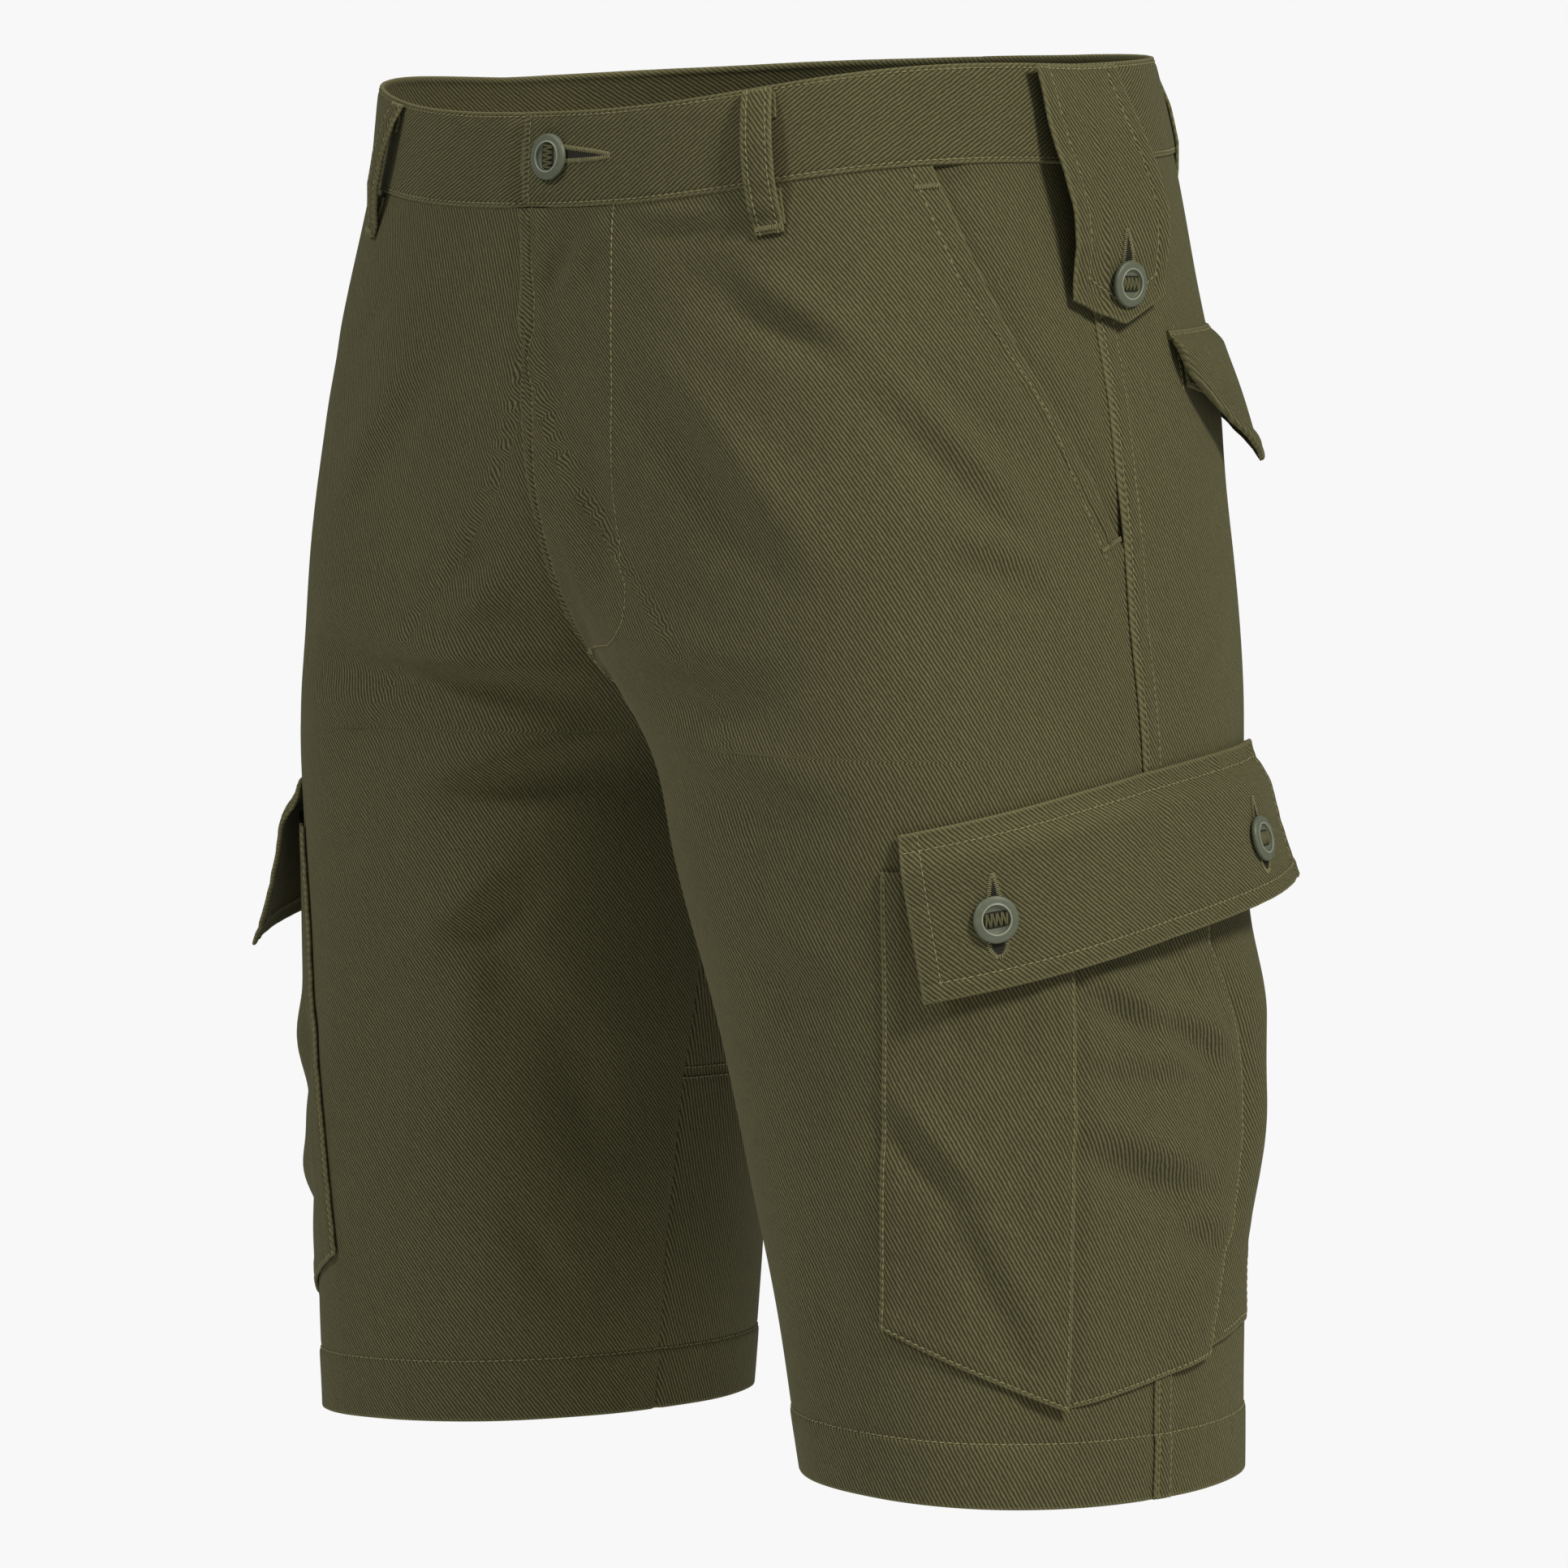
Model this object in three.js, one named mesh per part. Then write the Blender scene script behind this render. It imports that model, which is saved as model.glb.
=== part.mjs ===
// Cargo shorts, worn and empty. Millimetres, +Z up; the wearer faces -Y and the wearer's left is +X.
// The origin is the centre of the waist, level with the waistband's top edge at the side seams.
import * as THREE from "three";

const seam = 0.3;
const layerGap = 0.5;
const left = 1;
const right = -1;
const sideName = (side) => (side === left ? "left" : "right");

// Thickness of each piece, seam allowances included.
const thick = {
  body: 1.5,
  facing: 1.2,
  band: 2,
  loop: 1.6,
  tab: 1.8,
  pocket: 1.4,
  flap: 2,
};

// Colours of the cloth and the buttons.
const olive = new THREE.MeshStandardMaterial({
  color: 0x4b4930,
  roughness: 0.95,
  metalness: 0,
});
const horn = new THREE.MeshStandardMaterial({
  color: 0x66695a,
  roughness: 0.45,
  metalness: 0,
});

// Cross-sections from the waist down. Each is an oval, cut off at the middle of the body above the
// crotch: out and inn are its ends, front and back its extremes, side the y of its ends, and inseam
// the y that its inner end moves by. The edge drops at the front and rises at the back by drop and
// rise, and falls by slope per millimetre outwards. The last three are the oval's exponents.
const sectionColumns = [
  "z", "out", "inn", "front", "back", "side", "inseam", "drop", "rise", "slope",
  "frontInner", "frontOuter", "rear",
];
const sections = [
  [0, 160, -160, -125, 128, 8, 0, 18, 8, 0, 2.2, 2.5, 2.3],
  [-37, 164, -164, -127, 138, 8, 0, 17, 8, 0, 2.2, 2.55, 2.4],
  [-85, 172, -172, -127, 147, 9, 0, 14, 7, 0, 2.1, 2.95, 2.4],
  [-140, 183, -158, -125, 151, 9, -1, 10, 5, 0, 1.85, 3.2, 2.4],
  [-185, 190, -104, -121, 148, 9, -3, 6, 3, 0.01, 1.8, 3.2, 2.3],
  [-222, 195, -46, -116, 141, 8, -8, 3, 2, 0.015, 1.95, 3.0, 2.2],
  [-246, 198, -15, -113, 135, 8, -12, 1, 1, 0.02, 2.1, 2.9, 2.2],
  [-262, 200, 0, -111, 131, 8, -14, 0, 0, 0.02, 2.15, 2.8, 2.2],
  [-305, 203, 14, -106, 126, 7, -14, 0, 0, 0.025, 2.2, 2.6, 2.15],
  [-360, 207, 28, -100, 119, 6, -12, 0, 0, 0.03, 2.15, 2.5, 2.1],
  [-425, 210, 42, -94, 112, 4, -8, 0, 0, 0.035, 2.1, 2.4, 2.1],
  [-490, 212, 53, -89, 107, 2, -4, 0, 0, 0.04, 2.05, 2.3, 2.1],
  [-545, 213, 60, -85, 104, 0, 0, 0, 0, 0.04, 2.0, 2.3, 2.1],
];

// The largest folds: from one place to another, given as millimetres round from the side seam
// (towards the back is positive) and height, with a half width and a depth, negative inwards.
const foldColumns = ["side", "fromAcross", "fromZ", "toAcross", "toZ", "width", "depth"];
const folds = [
  [right, -120, -232, -235, -236, 12, -3.5],
  [right, -110, -250, -230, -247, 12, 3],
  [right, -150, -270, -250, -252, 11, -3],
  [right, -130, -205, -215, -212, 13, 2],
  [left, -120, -232, -235, -236, 13, -1.5],
  [left, -185, -64, -140, -88, 12, -2],
  [left, -115, -100, -30, -170, 11, -2.2],
  [left, -205, -100, -165, -160, 12, -1.4],
  [right, -185, -330, -150, -440, 18, -1.8],
  [left, 90, -130, 150, -230, 18, -2],
  [right, 90, -130, 150, -230, 18, -2],
];

const waistHeight = 38;
const hemZ = -545;
const crotchZ = -262;
// The slanted mouth of the hip pocket: how far in front of the side seam it is at each height.
const hipMouth = [
  { z: -38, across: -70 },
  { z: -74, across: -60 },
  { z: -110, across: -45 },
  { z: -150, across: -22 },
  { z: -186, across: 0 },
];

function rowsOf(table, columns) {
  return table.map((row) => Object.fromEntries(columns.map((name, i) => [name, row[i]])));
}

const sectionRows = rowsOf(sections, sectionColumns);
const foldRows = rowsOf(folds, foldColumns);

// The slope of a column at one row, from the rows on both sides of it.
function slopeAt(i, column) {
  const last = sectionRows.length - 1;
  const a = sectionRows[Math.max(i - 1, 0)];
  const b = sectionRows[i];
  const c = sectionRows[Math.min(i + 1, last)];
  if (i === 0) return (c[column] - b[column]) / (b.z - c.z);
  if (i === last) return (b[column] - a[column]) / (a.z - b.z);
  const h1 = a.z - b.z;
  const h2 = b.z - c.z;
  const up = (b[column] - a[column]) / h1;
  const down = (c[column] - b[column]) / h2;
  return (up * h2 + down * h1) / (h1 + h2);
}

const sectionSlopes = sectionRows.map((row, i) =>
  Object.fromEntries(sectionColumns.slice(1).map((name) => [name, slopeAt(i, name)])),
);

// The section at any height, a smooth curve through the rows.
function sectionAt(z) {
  let i = 0;
  while (i < sectionRows.length - 2 && z < sectionRows[i + 1].z) i += 1;
  const a = sectionRows[i];
  const b = sectionRows[i + 1];
  const h = a.z - b.z;
  const t = THREE.MathUtils.clamp((a.z - z) / h, 0, 1);
  const section = {};
  for (const name of sectionColumns.slice(1)) {
    section[name] =
      (2 * t ** 3 - 3 * t ** 2 + 1) * a[name] +
      (t ** 3 - 2 * t ** 2 + t) * h * sectionSlopes[i][name] +
      (-2 * t ** 3 + 3 * t ** 2) * b[name] +
      (t ** 3 - t ** 2) * h * sectionSlopes[i + 1][name];
  }
  return section;
}

// The angle round a section: the front half runs from its cut end to half a turn, the side seam,
// and the back half on from there. Round is 0 at the centre front or inseam, 0.5 at the side seam
// and 1 at the centre back or inseam.
function angleAt(round, z) {
  const s = sectionAt(z);
  const cut = THREE.MathUtils.clamp((s.out + s.inn) / (s.out - s.inn), 0, 1);
  const start = Math.acos(cut ** ((round < 0.5 ? s.frontInner : s.rear) / 2));
  if (round < 0.5) return start + (Math.PI - start) * 2 * round;
  return Math.PI + (Math.PI - start) * (2 * round - 1);
}

// A point of the smooth outer surface at an angle round its section.
function sectionPoint(side, angle, z) {
  const s = sectionAt(z);
  const centre = (s.out + s.inn) / 2;
  const half = (s.out - s.inn) / 2;
  const isFront = angle < Math.PI;
  const c = Math.cos(angle);
  const sn = Math.sin(angle);
  const frontPower = c > 0 ? s.frontInner : s.frontOuter;
  const power = 2 / (isFront ? frontPower : s.rear);
  const x = centre - half * Math.sign(c) * Math.abs(c) ** power;
  const depth = isFront ? s.side - s.front : s.back - s.side;
  const reach = Math.sign(sn) * Math.abs(sn) ** power;
  const y = s.side + (s.inseam * (1 + c)) / 2 - depth * reach;
  const edge = isFront ? -s.drop * sn ** 3 : s.rise * Math.abs(reach) ** 1.2;
  return new THREE.Vector3(side * (x + seam / 2), y, z + edge - s.slope * (x - centre));
}

const surface = (side, round, z) => sectionPoint(side, angleAt(round, z), z);

// The way out of the cloth at a place on the surface.
function outward(side, round, z) {
  const step = 0.02;
  const angle = angleAt(round, z);
  const a = sectionPoint(side, angle - step, z);
  const b = sectionPoint(side, angle + step, z);
  const up = sectionPoint(side, angle, Math.min(z + 1, 0));
  const down = sectionPoint(side, angle, Math.max(z - 1, hemZ));
  return b.sub(a).cross(down.sub(up)).normalize().multiplyScalar(-side);
}

// Distances round from the side seam at one height, kept because many points share a height.
const ringSteps = 160;
const ringCache = new Map();
function ringAt(z) {
  const key = Math.round(z * 100);
  if (!ringCache.has(key)) {
    const across = [0];
    let last = surface(left, 0, z);
    for (let i = 1; i <= ringSteps; i += 1) {
      const point = surface(left, i / ringSteps, z);
      across.push(across[i - 1] + point.distanceTo(last));
      last = point;
    }
    const middle = across[ringSteps / 2];
    ringCache.set(key, across.map((value) => value - middle));
  }
  return ringCache.get(key);
}

const acrossFront = (z) => ringAt(z)[0];
const acrossBack = (z) => ringAt(z)[ringSteps];

function roundAt(across, z) {
  const ring = ringAt(z);
  let low = 0;
  let high = ringSteps;
  while (high - low > 1) {
    const middle = (low + high) >> 1;
    if (ring[middle] <= across) low = middle;
    else high = middle;
  }
  const part = (across - ring[low]) / (ring[high] - ring[low]);
  return THREE.MathUtils.clamp((low + part) / ringSteps, 0, 1);
}

// How far the folds move the cloth in or out at a place.
function foldDepth(side, across, z) {
  let sum = 0;
  for (const fold of foldRows) {
    if (fold.side !== side) continue;
    const dx = fold.toAcross - fold.fromAcross;
    const dz = fold.toZ - fold.fromZ;
    const along = ((across - fold.fromAcross) * dx + (z - fold.fromZ) * dz) / (dx * dx + dz * dz);
    if (along < 0 || along > 1) continue;
    const off = (across - fold.fromAcross) * dz - (z - fold.fromZ) * dx;
    const away = off / Math.hypot(dx, dz) / fold.width;
    sum += fold.depth * Math.sin(Math.PI * along) ** 1.5 * Math.exp(-away * away);
  }
  return sum;
}

// A point at a distance round from the side seam and a height, lifted off the smooth surface.
// Past the centre front it carries on round the other side.
function at(side, across, z, lift) {
  const front = acrossFront(z);
  if (across < front) return at(-side, 2 * front - across, z, lift);
  const round = roundAt(across, z);
  const out = outward(side, round, z);
  const point = surface(side, round, z).addScaledVector(out, lift + foldDepth(side, across, z));
  point.x = side * Math.max(side * point.x, seam / 2);
  return point;
}

// A closed wall between an outer and an inner face. Each takes u and v from 0 to 1.
function wall(name, columns, rows, outer, inner, material = olive) {
  const positions = [];
  const vs = Array.isArray(rows) ? rows : Array.from({ length: rows + 1 }, (_, j) => j / rows);
  for (const face of [outer, inner]) {
    for (const v of vs) {
      for (let i = 0; i <= columns; i += 1) positions.push(...face(i / columns, v).toArray());
    }
  }
  const width = columns + 1;
  const faceSize = width * vs.length;
  const index = [];
  const quad = (a, b, c, d) => index.push(a, b, c, a, c, d);
  for (let j = 0; j < vs.length - 1; j += 1) {
    for (let i = 0; i < columns; i += 1) {
      const a = j * width + i;
      quad(a, a + 1, a + 1 + width, a + width);
      const b = a + faceSize;
      quad(b, b + width, b + 1 + width, b + 1);
    }
  }
  for (let i = 0; i < columns; i += 1) {
    quad(i, i + faceSize, i + 1 + faceSize, i + 1);
    const end = faceSize - width + i;
    quad(end, end + 1, end + 1 + faceSize, end + faceSize);
  }
  for (let j = 0; j < vs.length - 1; j += 1) {
    const a = j * width;
    quad(a, a + width, a + width + faceSize, a + faceSize);
    const b = a + columns;
    quad(b, b + faceSize, b + width + faceSize, b + width);
  }
  const geometry = new THREE.BufferGeometry();
  geometry.setAttribute("position", new THREE.Float32BufferAttribute(positions, 3));
  geometry.setIndex(signedVolume(positions, index) < 0 ? reversed(index) : index);
  geometry.computeVertexNormals();
  const mesh = new THREE.Mesh(geometry, material);
  mesh.name = name;
  return mesh;
}

function signedVolume(positions, index) {
  let sum = 0;
  const corner = (i) => new THREE.Vector3().fromArray(positions, 3 * i);
  for (let k = 0; k < index.length; k += 3) {
    const [a, b, c] = [corner(index[k]), corner(index[k + 1]), corner(index[k + 2])];
    sum += a.dot(b.cross(c)) / 6;
  }
  return sum;
}

function reversed(index) {
  const turned = [];
  for (let k = 0; k < index.length; k += 3) turned.push(index[k], index[k + 2], index[k + 1]);
  return turned;
}

// A piece that lies on the body: place gives across and z, lift the height of its inner face.
function layer(name, side, columns, rows, place, lift, thickness) {
  const face = (extra) => (u, v) => {
    const { across, z } = place(u, v);
    return at(side, across, z, lift(u, v, across, z) + extra);
  };
  return wall(name, columns, rows, face(thickness), face(0));
}

const mix = THREE.MathUtils.lerp;

// 0 at from, 1 at to, eased at both ends; from may be the larger of the two.
function smooth(x, from, to) {
  const t = THREE.MathUtils.clamp((x - from) / (to - from), 0, 1);
  return t * t * (3 - 2 * t);
}

// A value read off a short table of points, in straight lines.
function along(points, key, value, at) {
  let i = 0;
  while (i < points.length - 2 && value < points[i + 1][key]) i += 1;
  const a = points[i];
  const b = points[i + 1];
  const t = THREE.MathUtils.clamp((value - a[key]) / (b[key] - a[key]), 0, 1);
  return mix(a[at], b[at], t);
}

// Panels

const panelTop = -(waistHeight + seam);
const forkTop = -222;
const panelHeights = [
  panelTop, -60, -85, -110, -135, -160, -185, -205, forkTop, -233, -242, -249, -254, -258, -260.5,
  crotchZ, -265, -275, -305, -345, -390, -435, -480, -515, hemZ,
];
const panelRows = panelHeights.map((z) => (z - panelTop) / (hemZ - panelTop));
const panelZ = (v) => mix(panelTop, hemZ, v);
const mouthAt = (z) => along(hipMouth, "z", z, "across");

// A column's place, from 0 at the side seam to 1 at the panel's inner edge. Just above the crotch
// the edge swings in fast, and only the columns near it follow.
function columnAt(edge, z, part) {
  const inFork = z < forkTop && z > crotchZ;
  const drop = (z - forkTop) / (crotchZ - forkTop);
  const even = inFork ? mix(edge(forkTop), edge(crotchZ), drop) : edge(z);
  return even * part + (edge(z) - even) * part ** 4;
}

const inseamGap = (z) => (z < crotchZ ? seam / 2 : 0);

function frontPanel(side) {
  const place = (u, v) => {
    const z = panelZ(v);
    const across = columnAt(acrossFront, z, 1 - u) + inseamGap(z) * (1 - u);
    return { across: across + (mouthAt(z) - seam / 2) * u, z };
  };
  const name = `front_${sideName(side)}`;
  return layer(name, side, 14, panelRows, place, () => -thick.body, thick.body);
}

function backPanel(side) {
  const place = (u, v) => {
    const z = panelZ(v);
    return { across: columnAt(acrossBack, z, u) - inseamGap(z) * u + (seam / 2) * (1 - u), z };
  };
  const name = `back_${sideName(side)}`;
  return layer(name, side, 14, panelRows, place, () => -thick.body, thick.body);
}

// The facing behind the slanted mouth comes up level with the front panel at the side seam.
function hipFacing(side) {
  const under = 14;
  const bottom = -181;
  const clearance = 0.9;
  const deep = -(thick.body + clearance + thick.facing);
  const place = (u, v) => {
    const z = mix(panelTop, bottom, v);
    return { across: mix(mouthAt(z) - under, -seam / 2, u), z };
  };
  const lift = (u, v, across, z) =>
    mix(deep, -thick.facing, smooth(across, mouthAt(z) + 1, mouthAt(z) + 18));
  return layer(`hip_facing_${sideName(side)}`, side, 6, 8, place, lift, thick.facing);
}

// Waistband

const bandLift = -thick.band / 2;
const underlap = { length: 40, stepEnd: 12, columns: 12, part: 0.3 };

function bandZ(v) {
  return mix(0, -waistHeight, v);
}

function waistbandLeft() {
  const place = (u, v) => {
    const z = bandZ(v);
    return { across: mix(acrossFront(z), acrossBack(z), u), z };
  };
  return layer("waistband_left", left, 26, 2, place, () => bandLift, thick.band);
}

// The right half runs on behind the left one at the centre front, where the button is sewn. Its
// first columns are close together, where it steps back.
function waistbandRight() {
  const { length, stepEnd, columns, part } = underlap;
  const place = (u, v) => {
    const z = bandZ(v);
    const start = acrossFront(z);
    const across =
      u < part
        ? mix(start - length, start + stepEnd, u / part)
        : mix(start + stepEnd, acrossBack(z), (u - part) / (1 - part));
    return { across, z };
  };
  const lift = (u, v, across, z) => {
    const past = acrossFront(z) - across;
    return bandLift - (thick.band + seam) * smooth(past, -stepEnd, -1);
  };
  return layer("waistband_right", right, columns / part, 2, place, lift, thick.band);
}

// Belt loops and side tabs

const loopWidth = 12;
// A loop's path down from the band's top edge, with the lift of its inner face.
// Where each loop crosses the band's top edge, and how far its foot is from straight below.
const loopPlaces = [
  { name: "front", side: left, across: -134, lean: -2 },
  { name: "front", side: right, across: -152, lean: 14 },
  { name: "back", side: left, across: 126, lean: 2 },
  { name: "back", side: right, across: 126, lean: 2 },
];
const loopPath = [
  { z: -1, lift: 1.6 },
  { z: -9, lift: 3.4 },
  { z: -22, lift: 4.2 },
  { z: -36, lift: 3.6 },
  { z: -46, lift: 1.8 },
  { z: -52, lift: 0.4 },
  { z: -57, lift: 0.3 },
];

function pathAt(path, v) {
  const place = v * (path.length - 1);
  const i = Math.min(Math.floor(place), path.length - 2);
  const t = place - i;
  const point = {};
  for (const key of Object.keys(path[i])) point[key] = mix(path[i][key], path[i + 1][key], t);
  return point;
}

function beltLoop({ name, side, across, lean }) {
  const foot = loopPath[loopPath.length - 1].z;
  const place = (u, v) => {
    const { z } = pathAt(loopPath, v);
    return { across: across + (lean * z) / foot + (u - 0.5) * loopWidth, z };
  };
  const lift = (u, v) => pathAt(loopPath, v).lift;
  return layer(`loop_${name}_${sideName(side)}`, side, 2, 12, place, lift, thick.loop);
}

// The centre back loop crosses the middle, so it is placed from the back centre on both sides.
function backCentreLoop() {
  const face = (extra) => (u, v) => {
    const { z, lift } = pathAt(loopPath, v);
    const from = (u - 0.5) * loopWidth;
    const side = from < 0 ? right : left;
    const point = at(side, acrossBack(z) - Math.abs(from), z, lift + extra);
    if (from === 0) point.x = 0;
    return point;
  };
  return wall("loop_back_centre", 2, 12, face(thick.loop), face(0));
}

// A tab's path over the side seam: centre, half width and lift at each height, down to its point.
const tabPath = [
  { z: -1, centre: -2, half: 23, lift: 1.9 },
  { z: -12, centre: 0, half: 23, lift: 4.5 },
  { z: -26, centre: 2, half: 23.5, lift: 8 },
  { z: -42, centre: 5, half: 24, lift: 10.5 },
  { z: -58, centre: 8, half: 24.5, lift: 11 },
  { z: -74, centre: 9, half: 24.5, lift: 9 },
  { z: -88, centre: 9, half: 24.5, lift: 6 },
];
const tabPoint = { z: -101, lift: 3.6, drop: 10 };
const tabLean = 3;
const tabButton = { across: 10, z: -86 };

function sideTab(side) {
  const rows = [...tabPath, { ...tabPath[tabPath.length - 1], z: tabPoint.z, lift: tabPoint.lift }];
  const place = (u, v) => {
    const row = pathAt(rows, v);
    const last = smooth(row.z, tabPath[tabPath.length - 1].z, tabPoint.z);
    const away = Math.abs(2 * u - 1);
    const corner = tabPoint.drop * last * away;
    return { across: row.centre + (2 * u - 1) * row.half, z: row.z + corner };
  };
  const lift = (u, v) => {
    const row = pathAt(rows, v);
    return row.lift + tabLean * (u - 0.5) * smooth(row.z, 0, -40);
  };
  return layer(`side_tab_${sideName(side)}`, side, 6, 14, place, lift, thick.tab);
}

// Cargo pockets: the corners of each outline, round from the side seam and down.

const cargo = {
  front: -118,
  pleat: -44,
  rear: 30,
  bow: 27,
  bowTopZ: -331,
  bowBottomZ: -488,
  corner: 60,
  gussetRear: 102,
  gussetFoot: 76,
  gussetBulge: 7.5,
  frontBottom: -478,
  tipBottom: -508,
  rearBottom: -488,
  pleatUnder: 10,
};
// The flap's top edge and its lower edge, each from its front to its rear end.
const flapEdge = {
  front: -112,
  rear: 94,
  topFrontZ: -289,
  topRearZ: -261,
  height: 65,
  rearShorter: 12,
  frontLean: 10,
  rearLean: 2,
  frontFlare: { [left]: 1, [right]: 13 },
  rearFlare: 13,
};

function flapTopZ(across) {
  const t = (across - flapEdge.front) / (flapEdge.rear - flapEdge.front);
  return mix(flapEdge.topFrontZ, flapEdge.topRearZ, Math.sin((Math.min(Math.max(t, 0), 1) * Math.PI) / 2));
}

function cargoBottomZ(across) {
  if (across < cargo.pleat) {
    return mix(cargo.frontBottom, cargo.tipBottom, (across - cargo.front) / (cargo.pleat - cargo.front));
  }
  const part = (across - cargo.pleat) / (cargo.corner - cargo.pleat);
  return mix(cargo.tipBottom, cargo.rearBottom, part);
}

// The pocket's rear edge bows out towards the back.
function cargoRearAt(z) {
  const part = (cargo.bowTopZ - z) / (cargo.bowTopZ - cargo.bowBottomZ);
  const down = THREE.MathUtils.clamp(part, 0, 1) ** 0.85;
  return cargo.rear + cargo.bow * Math.sin(Math.PI * down) ** 1.5;
}

const cargoTopZ = (across) => flapTopZ(across) - 14;

// How far the pocket's front stands off the leg, away from its sewn edges.
function cargoPuff(across, z, height) {
  const fromFront = smooth(across, cargo.front, cargo.front + 40);
  const fromBottom = smooth(z, cargoBottomZ(across), cargoBottomZ(across) + 50);
  return height * fromFront * fromBottom;
}

function cargoFront(side) {
  const place = (u, v) => {
    const across = mix(cargo.front, cargo.pleat, u);
    return { across, z: mix(cargoTopZ(across), cargoBottomZ(across), v) };
  };
  const lift = (u, v, across, z) => {
    const overRear = (thick.pocket + seam) * smooth(across, cargo.pleat - 22, cargo.pleat - 12);
    return seam + overRear + cargoPuff(across, z, 1.6);
  };
  return layer(`cargo_front_${sideName(side)}`, side, 7, 12, place, lift, thick.pocket);
}

function cargoRear(side) {
  const from = cargo.pleat - cargo.pleatUnder;
  const place = (u, v) => {
    const guess = mix(from, cargo.corner, u);
    const rear = cargoRearAt(mix(cargoTopZ(guess), cargoBottomZ(guess) + 1, v));
    const across = mix(from, rear, u);
    return { across, z: mix(cargoTopZ(across), cargoBottomZ(across) + 1, v) };
  };
  const lift = (u, v, across, z) => {
    const rear = cargoRearAt(z);
    const overGusset = (thick.pocket + seam) * smooth(across, rear - 26, rear - 14);
    return seam + overGusset + cargoPuff(across, z, 1.6);
  };
  return layer(`cargo_rear_${sideName(side)}`, side, 10, 14, place, lift, thick.pocket);
}

const gussetRearAt = (z) => mix(cargo.gussetRear, cargo.gussetFoot, smooth(z, -400, -485));

// The bellows bulges behind the pocket's rear edge, most at half its height.
function cargoGusset(side) {
  const place = (u, v) => {
    const guess = mix(cargoTopZ(cargo.corner), cargoBottomZ(cargo.corner) + 3, v);
    const across = mix(cargoRearAt(guess) - 10, gussetRearAt(guess), u);
    return { across, z: mix(cargoTopZ(across), cargoBottomZ(across) + 3, v) };
  };
  const lift = (u, v, across, z) => {
    const from = cargoRearAt(z) + 2;
    const part = THREE.MathUtils.clamp((across - from) / (gussetRearAt(z) - from), 0, 1);
    const high = smooth(z, -312, -368) * mix(1, 0.15, smooth(z, -398, -470));
    return seam + cargo.gussetBulge * Math.sin(Math.PI * part) * high;
  };
  return layer(`cargo_gusset_${sideName(side)}`, side, 9, 14, place, lift, thick.pocket);
}

// The flap is sewn down along its top edge, clears the pocket, and stands out most at its rear,
// and on the right leg at its front corner too.
function cargoFlapLift(side, u, v) {
  const overPocket = 6.4 * smooth(v, 0.02, mix(0.22, 0.34, u ** 4));
  const front = flapEdge.frontFlare[side] * (1 - u) ** 3;
  const flare = (mix(1, flapEdge.rearFlare, u ** 1.5) + front) * v ** 1.6;
  return seam + overPocket + flare;
}

const flapHeightAt = (u) => flapEdge.height - flapEdge.rearShorter * u ** 2.4;

function cargoFlap(side) {
  const place = (u, v) => {
    const lean = mix(flapEdge.frontLean, flapEdge.rearLean, u) * v;
    const across = mix(flapEdge.front, flapEdge.rear, u) + lean;
    return { across, z: flapTopZ(across) - v * flapHeightAt(u) };
  };
  const lift = (u, v) => cargoFlapLift(side, u, v);
  return layer(`cargo_flap_${sideName(side)}`, side, 14, 8, place, lift, thick.flap);
}

const cargoButtons = [
  { name: "front", across: -77, down: 0.59 },
  { name: "rear", across: 57, down: 0.6 },
];

// Back pockets, set in: only the narrow welt below each mouth and the pointed flap lie outside.

const backWelt = { front: 48, rear: 172, topZ: -113, height: 13, wall: 1.6 };
const backFlap = {
  front: 40,
  rear: 180,
  topZ: -104,
  sideHeight: 5,
  tipHeight: 54,
  fullness: 0.5,
  standOff: 11,
};

const fromMiddle = (u) => 1 - Math.abs(2 * u - 1);

function backWeltPiece(side) {
  const place = (u, v) => ({
    across: mix(backWelt.front, backWelt.rear, u),
    z: backWelt.topZ - v * backWelt.height,
  });
  return layer(`back_welt_${sideName(side)}`, side, 12, 3, place, () => layerGap, backWelt.wall);
}

const backFlapHeight = (u) =>
  mix(backFlap.sideHeight, backFlap.tipHeight, fromMiddle(u) ** backFlap.fullness);

function backFlapLift(u, v) {
  const overWelt = 2.2 * smooth(v * backFlapHeight(u), 1, 8);
  return layerGap + overWelt + backFlap.standOff * fromMiddle(u) ** 0.9 * v ** 1.3;
}

function backFlapPiece(side) {
  const place = (u, v) => {
    const across = mix(backFlap.front, backFlap.rear, u);
    return { across, z: backFlap.topZ - v * backFlapHeight(u) };
  };
  return layer(`back_flap_${sideName(side)}`, side, 10, 7, place, backFlapLift, thick.flap);
}

// Buttons: a dished disc with a raised rim, its back flat.

const buttonSize = { radius: 9, rim: 2.6, dish: 1.5, well: 5.2, floor: 0.9 };

function buttonGeometry() {
  const { radius, rim, dish, well, floor } = buttonSize;
  const profile = [
    [0, 0], [radius - 1.2, 0], [radius, 1], [radius - 0.3, rim - 0.4], [radius - 1.2, rim],
    [radius - 2.4, dish + 0.6], [well + 0.6, dish], [well, floor], [0, floor],
  ];
  const points = profile.map(([r, h]) => new THREE.Vector2(r, h));
  return new THREE.LatheGeometry(points, 18);
}

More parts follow.
